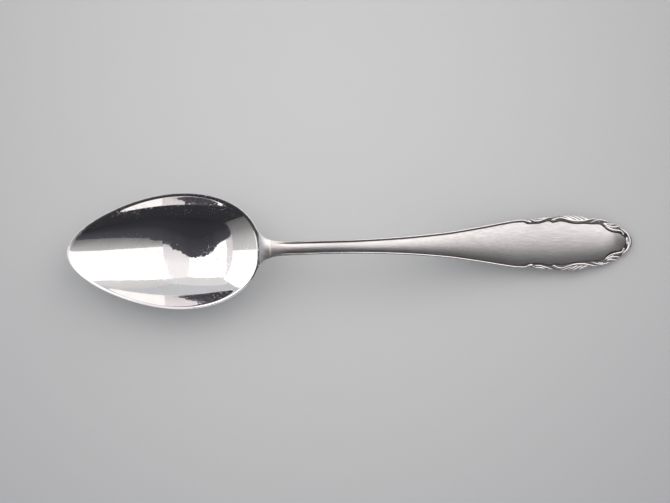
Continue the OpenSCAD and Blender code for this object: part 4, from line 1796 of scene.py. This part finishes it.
@dataclass(frozen=True)
class BurnishedRelief:
    """The wires and the border: burnished tops over tarnish and painted shade in the hollows."""

    # Only the high parts are polished: tarnish and painted shade draw the ornament
    colour: str = "E9E5E4"
    tarnish: str = "6A6462"
    # Bright, but softer than the bowl: each stroke gets one small highlight
    roughness: float = 0.22
    smoothest: float = -0.04
    roughest: float = 0.08
    # The hollows are never evenly dark: this much of the tarnish and painted shade
    # is left in the cleanest of them
    least_dark: float = 0.55

    # Cells to a millimetre
    PATCHES = (1.5, 1.5, 1.5)
    WEAR = (4.0, 4.0, 4.0)
    NOISE = (0.3, 0.7)

    def material(self) -> bpy.types.Material:
        """Builds the material, once for all the pieces that wear it.

        Returns:
            The material of the threads and of the border.
        """
        made = bpy.data.materials.get("burnished silver")
        if made:
            return made
        made, tree, shader = new_material("burnished silver")
        hollow = add_node(tree, "ShaderNodeAttribute", attribute_name="hollow")
        patchy = add_node(
            tree, "ShaderNodeMapRange", links={0: grain(tree, self.PATCHES, *self.NOISE)},
            values={TO_MIN: self.least_dark, TO_MAX: 1.0},
        )  # fmt: skip
        dark = add_node(
            tree, "ShaderNodeMath", operation="MULTIPLY",
            links={0: hollow.outputs["Fac"], 1: patchy.outputs[0]},
        )  # fmt: skip
        tone = add_node(
            tree, "ShaderNodeMix", data_type="RGBA", links={0: dark.outputs[0]},
            values={COLOUR_A: linear(self.colour), COLOUR_B: linear(self.tarnish)},
        )  # fmt: skip
        wear = add_node(
            tree, "ShaderNodeMapRange", links={0: grain(tree, self.WEAR, *self.NOISE)},
            values={TO_MIN: self.roughness + self.smoothest,
                    TO_MAX: self.roughness + self.roughest},
        )  # fmt: skip
        rough = add_node(
            tree, "ShaderNodeMath", operation="MAXIMUM",
            links={0: wear.outputs[0], 1: dark.outputs[0]},
        )  # fmt: skip
        tree.links.new(tone.outputs[MIXED], shader.inputs["Base Color"])
        tree.links.new(rough.outputs[0], shader.inputs["Roughness"])
        shader.inputs["Metallic"].default_value = 1.0
        return made


@dataclass(frozen=True)
class SilverSolder:
    """Hard solder, filed flush and polished with the neck."""

    # A lower share of silver makes the line a little warmer than its neighbours,
    # and its even gloss makes it a thin bright line across the neck
    colour: str = "E6D9CE"
    roughness: float = 0.2
    smoothest: float = -0.04
    roughest: float = 0.08

    # Cells to a millimetre
    WEAR = (3.0, 3.0, 3.0)
    NOISE = (0.3, 0.7)

    def material(self) -> bpy.types.Material:
        """Builds the material.

        Returns:
            The seam's material.
        """
        made, tree, shader = new_material("silver solder")
        rough = add_node(
            tree, "ShaderNodeMapRange", links={0: grain(tree, self.WEAR, *self.NOISE)},
            values={TO_MIN: self.roughness + self.smoothest,
                    TO_MAX: self.roughness + self.roughest},
        )  # fmt: skip
        tree.links.new(rough.outputs[0], shader.inputs["Roughness"])
        shader.inputs["Base Color"].default_value = linear(self.colour)
        shader.inputs["Metallic"].default_value = 1.0
        return made


@dataclass(frozen=True)
class TablePaper:
    """The smooth pale card that the spoon lies on."""

    # Matt and even, so that only the spoon has highlights
    colour: str = "D2D3D3"
    roughness: float = 0.75
    # Painted shade: it greys a little away from the window, as a sheet does at the
    # edge of a lamp's pool: an ellipse about the middle, at fades_at times its two radii
    far: str = "A8A9AB"
    middle: tuple[float, float] = (-7.0, 33.0)
    reach: tuple[float, float] = (76.0, 84.0)
    fades_at: float = 2.4

    def material(self) -> bpy.types.Material:
        """Builds the material.

        Returns:
            The table's material.
        """
        made, tree, shader = new_material("pale table card")
        place = add_node(tree, "ShaderNodeTexCoord")
        away = add_node(
            tree, "ShaderNodeMapping", vector_type="TEXTURE",
            links={"Vector": place.outputs["Object"]},
            values={"Location": (self.middle[0] * MM, self.middle[1] * MM, 0),
                    "Scale": (self.reach[0] * MM, self.reach[1] * MM, 1)},
        )  # fmt: skip
        far = add_node(
            tree, "ShaderNodeVectorMath", operation="LENGTH", links={0: away.outputs[0]}
        )
        share = add_node(
            tree, "ShaderNodeMapRange", interpolation_type="SMOOTHSTEP",
            links={0: far.outputs["Value"]},
            values={FROM_MIN: 0.0, FROM_MAX: self.fades_at, TO_MIN: 0.0, TO_MAX: 1.0},
        )  # fmt: skip
        tone = add_node(
            tree, "ShaderNodeMix", data_type="RGBA", links={0: share.outputs[0]},
            values={COLOUR_A: linear(self.colour), COLOUR_B: linear(self.far)},
        )  # fmt: skip
        tree.links.new(tone.outputs[MIXED], shader.inputs["Base Color"])
        shader.inputs["Roughness"].default_value = self.roughness
        return made


@dataclass(frozen=True)
class Glow:
    """What stands round the spoon: a tint whose brightness is the attribute tone."""

    name: str
    tint: str

    def material(self) -> bpy.types.Material:
        """Builds the material.

        Returns:
            The card's material.
        """
        made = bpy.data.materials.new(self.name)
        made.use_nodes = True
        tree = made.node_tree
        tree.nodes.clear()
        tone = add_node(tree, "ShaderNodeAttribute", attribute_name="tone")
        glow = add_node(
            tree, "ShaderNodeEmission", links={"Strength": tone.outputs["Fac"]},
            values={"Color": linear(self.tint)},
        )  # fmt: skip
        add_node(tree, "ShaderNodeOutputMaterial", links={0: glow.outputs[0]})
        return made


class Plane(Enum):
    """The planes that a card of the studio can lie in."""

    CEILING = "level"
    NECK_WALL = "upright, beyond the neck"
    FRONT_WALL = "upright, in front of the spoon"


@dataclass
class Card:
    """A flat card that the silver mirrors, out of the camera's sight.

    It lies between rails of points, in metres, each rail with its own brightness,
    which runs smoothly from one to the next.
    """

    name: str
    rails: Sequence[tuple[float, Sequence[tuple[float, float]]]]
    tint: str = "FFFFFF"
    plane: Plane = Plane.CEILING
    at: float = 1.1
    # Whether matt things see it too: the dark cards only draw the dark parts of
    # the reflections, and the table is lit as if they weren't there
    darkens_table: bool = True

    def place(self, a: float, b: float) -> tuple[float, float, float]:
        """Finds a point of the card's plane.

        Args:
            a: Its first coordinate in the plane, in metres.
            b: Its second one.

        Returns:
            The point in the row's frame.
        """
        return {
            Plane.CEILING: (a, b, self.at),
            Plane.NECK_WALL: (self.at, a, b),
            Plane.FRONT_WALL: (a, self.at, b),
        }[self.plane]

    def build(self) -> bpy.types.Object:
        """Hangs the card.

        Returns:
            The card.
        """
        along = len(self.rails[0][1])
        points = [self.place(a, b) for _, rail in self.rails for a, b in rail]
        faces = [
            (k * along + i, k * along + i + 1, (k + 1) * along + i + 1, (k + 1) * along + i)
            for k in range(len(self.rails) - 1)
            for i in range(along - 1)
        ]
        mesh = bpy.data.meshes.new(self.name)
        mesh.from_pydata(points, [], faces)
        tones = [tone for tone, rail in self.rails for _ in rail]
        mesh.attributes.new("tone", "FLOAT", "POINT").data.foreach_set("value", tones)
        mesh.materials.append(Glow(self.name, self.tint).material())
        card = bpy.data.objects.new(self.name, mesh)
        bpy.context.scene.collection.objects.link(card)
        card.visible_camera = False
        card.visible_diffuse = self.darkens_table
        return card


def ragged(
    edge: Sequence[tuple[float, float]], depth: float, seed: int
) -> list[tuple[float, float]]:
    """Breaks the edge of a card up, as leaves do before a window.

    Args:
        edge: The edge's points, in metres.
        depth: How far a point may stray, where the edge crosses the middle.
        seed: The seed of the straying.

    Returns:
        RAGS points for each of the edge's, plus its last.
    """
    at = np.linspace(0, len(edge) - 1, RAGS * (len(edge) - 1) + 1)
    x, y = (np.interp(at, np.arange(len(edge)), [p[k] for p in edge]) for k in (0, 1))
    stray = np.random.default_rng(seed).uniform(-1, 1, (2, len(at)))
    # Along X the straying sets in over 0.2 m from 0.5 on, and fades out over 0.4 m
    # up to -2
    depth = depth * ease((0.5 - x) / 0.2) * ease((x + 2.0) / 0.4)
    return list(zip((x + depth * stray[0]).tolist(), (y + depth * stray[1]).tolist()))


@dataclass
class Studio:
    """The table, the window over it, what is dark round it, and the camera.

    Lengths are in metres, the lens in millimetres, the tilt in degrees and the
    roll in radians.
    """

    lens: float = 135.0
    sensor: float = 36.0
    distance: float = 0.622
    target: tuple[float, float, float] = (-0.00401, -0.00084, 0.005)
    tilt: float = 2.0
    roll: float = -0.02405
    world: str = "C6C8CC"
    world_strength: float = 1.0
    # Half the table's side, in metres
    table_half: float = 3.0

    # Where the window ends towards the dark, seen from above
    WINDOW_EDGE = (
        (0.16, -0.17), (0.34, -0.15), (0.54, -0.13), (0.78, -0.09), (1.5, -0.06), (5.0, 0.05),
    )  # fmt: skip
    # Where the dark ends, from the far end of the ceiling over the point of the
    # bowl round to the wall beyond the neck
    DARK_EDGE = (
        (5.0, -4.0), (1.4, -1.08), (0.89, -0.76), (0.58, -0.63), (0.31, -0.5), (0.2, -0.38),
        (0.08, -0.15), (-0.05, 0.03), (-0.18, 0.13), (-0.36, 0.22), (-0.6, 0.24), (-0.85, 0.235),
        (-1.02, 0.205), (-1.22, 0.15), (-1.4, 0.055), (-1.68, -0.19), (-1.95, -0.35),
        (-2.35, -0.48), (-2.62, -0.58), (-2.87, -0.74), (-3.0, -0.92), (-3.03, -1.5),
    )  # fmt: skip
    # The window's panes give the bowl its bright parts, and the blind, the bar and
    # the post part them. The ceiling and the sills are the greys round the window,
    # and the flag and the wall that are dark give the mirror its dark parts. The
    # wall beyond the neck fades away from the window
    CARDS = (
        Card("window_near_point", (
            (1.12, WINDOW_EDGE),
            (1.12, ((0.15, 0.25), (0.32, 0.25), (0.5, 0.25), (0.8, 0.3), (1.46, 0.4), (5.0, 1.2))),
            (1.9, ((0.14, 0.65), (0.3, 0.68), (0.46, 0.72), (0.8, 0.9), (1.42, 1.3), (5.0, 4.0))),
            (1.9, ((0.13, 1.29), (0.27, 1.37), (0.43, 1.48), (0.8, 1.82), (1.37, 2.58),
                   (5.0, 8.5))),
        ), "FFFDFC"),
        Card("blind", (
            (0.7, ((0.16, -0.17), (-0.36, -0.1))),
            (0.95, ((0.145, 0.45), (-0.34, 0.45))),
            (0.97, ((0.13, 1.29), (-0.37, 1.18))),
        ), "FFFAFC"),
        Card("window_near_neck", (
            (1.1, ((-0.36, -0.12), (-1.4, -0.12), (-2.39, -0.46))),
            (1.9, ((-0.34, 0.5), (-1.4, 0.5), (-2.4, 0.57))),
            (1.9, ((-0.37, 1.18), (-1.46, 1.55), (-2.86, 2.03))),
        ), "FFFDFC"),
        Card("window_bar", (
            (0.74, ((-0.35, 0.36), (-1.01, 0.38), (-1.56, 0.405), (-2.4, 0.475))),
            (0.74, ((-0.35, 0.4), (-1.01, 0.42), (-1.56, 0.455), (-2.4, 0.535))),
        ), at=1.095),
        Card("window_post", (
            (0.7, ((-2.39, -0.5), (-3.2, -0.5))),
            (0.86, ((-2.4, 0.5), (-3.11, 0.5))),
            (0.9, ((-2.86, 2.03), (-3.52, 2.26))),
        ), "FFFAFC"),
        Card("window_far", (
            (1.3, ((0.12, -0.2), (0.12, 1.1))),
            (1.3, ((3.0, -0.2), (2.4, 1.1))),
        ), plane=Plane.NECK_WALL, at=-3.03),
        Card("neck_wall", (
            (0.63, ((0.12, -0.2), (0.12, 1.1))),
            (0.5, ((-0.32, -0.2), (-0.32, 1.1))),
            (0.36, ((-0.68, -0.2), (-0.68, 1.1))),
            (0.235, ((-1.05, -0.2), (-1.05, 1.1))),
            (0.168, ((-1.5, -0.2), (-1.5, 1.1))),
            (0.098, ((-2.04, -0.2), (-2.04, 1.1))),
            (0.04, ((-3.5, -0.2), (-3.5, 1.1))),
        ), plane=Plane.NECK_WALL, at=-3.03),
        Card("grey_ceiling", (
            (0.15, tuple((a, b - 0.06) for a, b in DARK_EDGE[5::-1])),
            (0.5, WINDOW_EDGE),
        )),
        Card("sill", (
            (0.72, ((0.13, 1.29), (-0.37, 1.18), (-0.52, 1.27), (-1.46, 1.55), (-2.86, 2.03),
                    (-5.0, 3.9))),
            (0.72, ((0.11, 1.92), (-0.3, 2.08), (-0.49, 2.25), (-1.11, 2.55), (-2.35, 3.35),
                    (-5.0, 5.0))),
        )),
        Card("sill_near_point", (
            (0.72, ((0.13, 1.29), (0.43, 1.48), (0.8, 1.82), (1.37, 2.58), (5.0, 8.5))),
            (0.62, ((0.11, 1.92), (0.42, 2.6), (0.74, 3.31), (1.93, 5.78), (7.0, 17.0))),
        )),
        Card("dark_flag", (
            (0.085, ragged(DARK_EDGE, 0.035, 7)),
            (0.04, ragged([(a, b - 0.75) for a, b in DARK_EDGE], 0.0, 7)),
            (0.02, ragged([(a * 1.4, b - 2.6) for a, b in DARK_EDGE], 0.0, 7)),
            (0.02, ragged([(a * 2, -9.0) for a, b in DARK_EDGE], 0.0, 7)),
        ), "EFEDFF", at=1.09, darkens_table=False),
        Card("dark_wall", (
            (0.04, ((-3.03, -0.6), (3.0, -0.6))),
            (0.03, ((-3.03, 1.09), (3.0, 1.09))),
        ), "F2F2FF", Plane.FRONT_WALL, -2.0, darkens_table=False),
    )  # fmt: skip

    def table(self) -> bpy.types.Object:
        """Lays the pale table.

        Returns:
            The table.
        """
        mesh = bpy.data.meshes.new("pale_table")
        side = self.table_half
        corners = [(-side, -side, 0), (side, -side, 0), (side, side, 0), (-side, side, 0)]
        mesh.from_pydata(corners, [], [(0, 1, 2, 3)])
        mesh.materials.append(TablePaper().material())
        table = bpy.data.objects.new("pale_table", mesh)
        bpy.context.scene.collection.objects.link(table)
        return table

    def light(self) -> None:
        """Hangs the cards in a plain pale world."""
        for card in self.CARDS:
            card.build()
        world = bpy.data.worlds.new("pale room")
        world.use_nodes = True
        ground = world.node_tree.nodes["Background"]
        ground.inputs[0].default_value = linear(self.world)
        ground.inputs[1].default_value = self.world_strength
        bpy.context.scene.world = world

    def camera(self) -> None:
        """Hangs the camera nearly straight over the spoon."""
        lens = bpy.data.cameras.new("camera")
        lens.lens, lens.sensor_width = self.lens, self.sensor
        camera = bpy.data.objects.new("camera", lens)
        lean = math.radians(self.tilt)
        turn = Matrix.Rotation(lean, 4, "X") @ Matrix.Rotation(self.roll, 4, "Z")
        away = Vector((0, -math.sin(lean), math.cos(lean))) * self.distance
        camera.matrix_world = Matrix.Translation(Vector(self.target) + away) @ turn
        bpy.context.scene.collection.objects.link(camera)
        bpy.context.scene.camera = camera

    def build(self) -> None:
        """Sets the whole studio."""
        self.table()
        self.light()
        self.camera()
        bpy.context.scene.view_settings.view_transform = "Standard"


class Teaspoon:
    """The whole spoon, put together from its pieces."""

    def build(self) -> list[bpy.types.Object]:
        """Builds the bowl, the handle and what is soldered to them.

        Returns:
            All the pieces.
        """
        pieces = [Bowl().build(), Handle().build(), SolderSeam().build()]
        pieces += [Thread(1).build(), Thread(-1).build()]
        return pieces + Border().build()


def main() -> None:
    """Builds the spoon and its studio, and logs the faces of each piece."""
    logging.basicConfig(level=logging.INFO, format="%(message)s")
    for piece in Teaspoon().build():
        log.info("%s: %d faces", piece.name, len(piece.data.polygons))
    Studio().build()


if __name__ == "__main__":
    main()
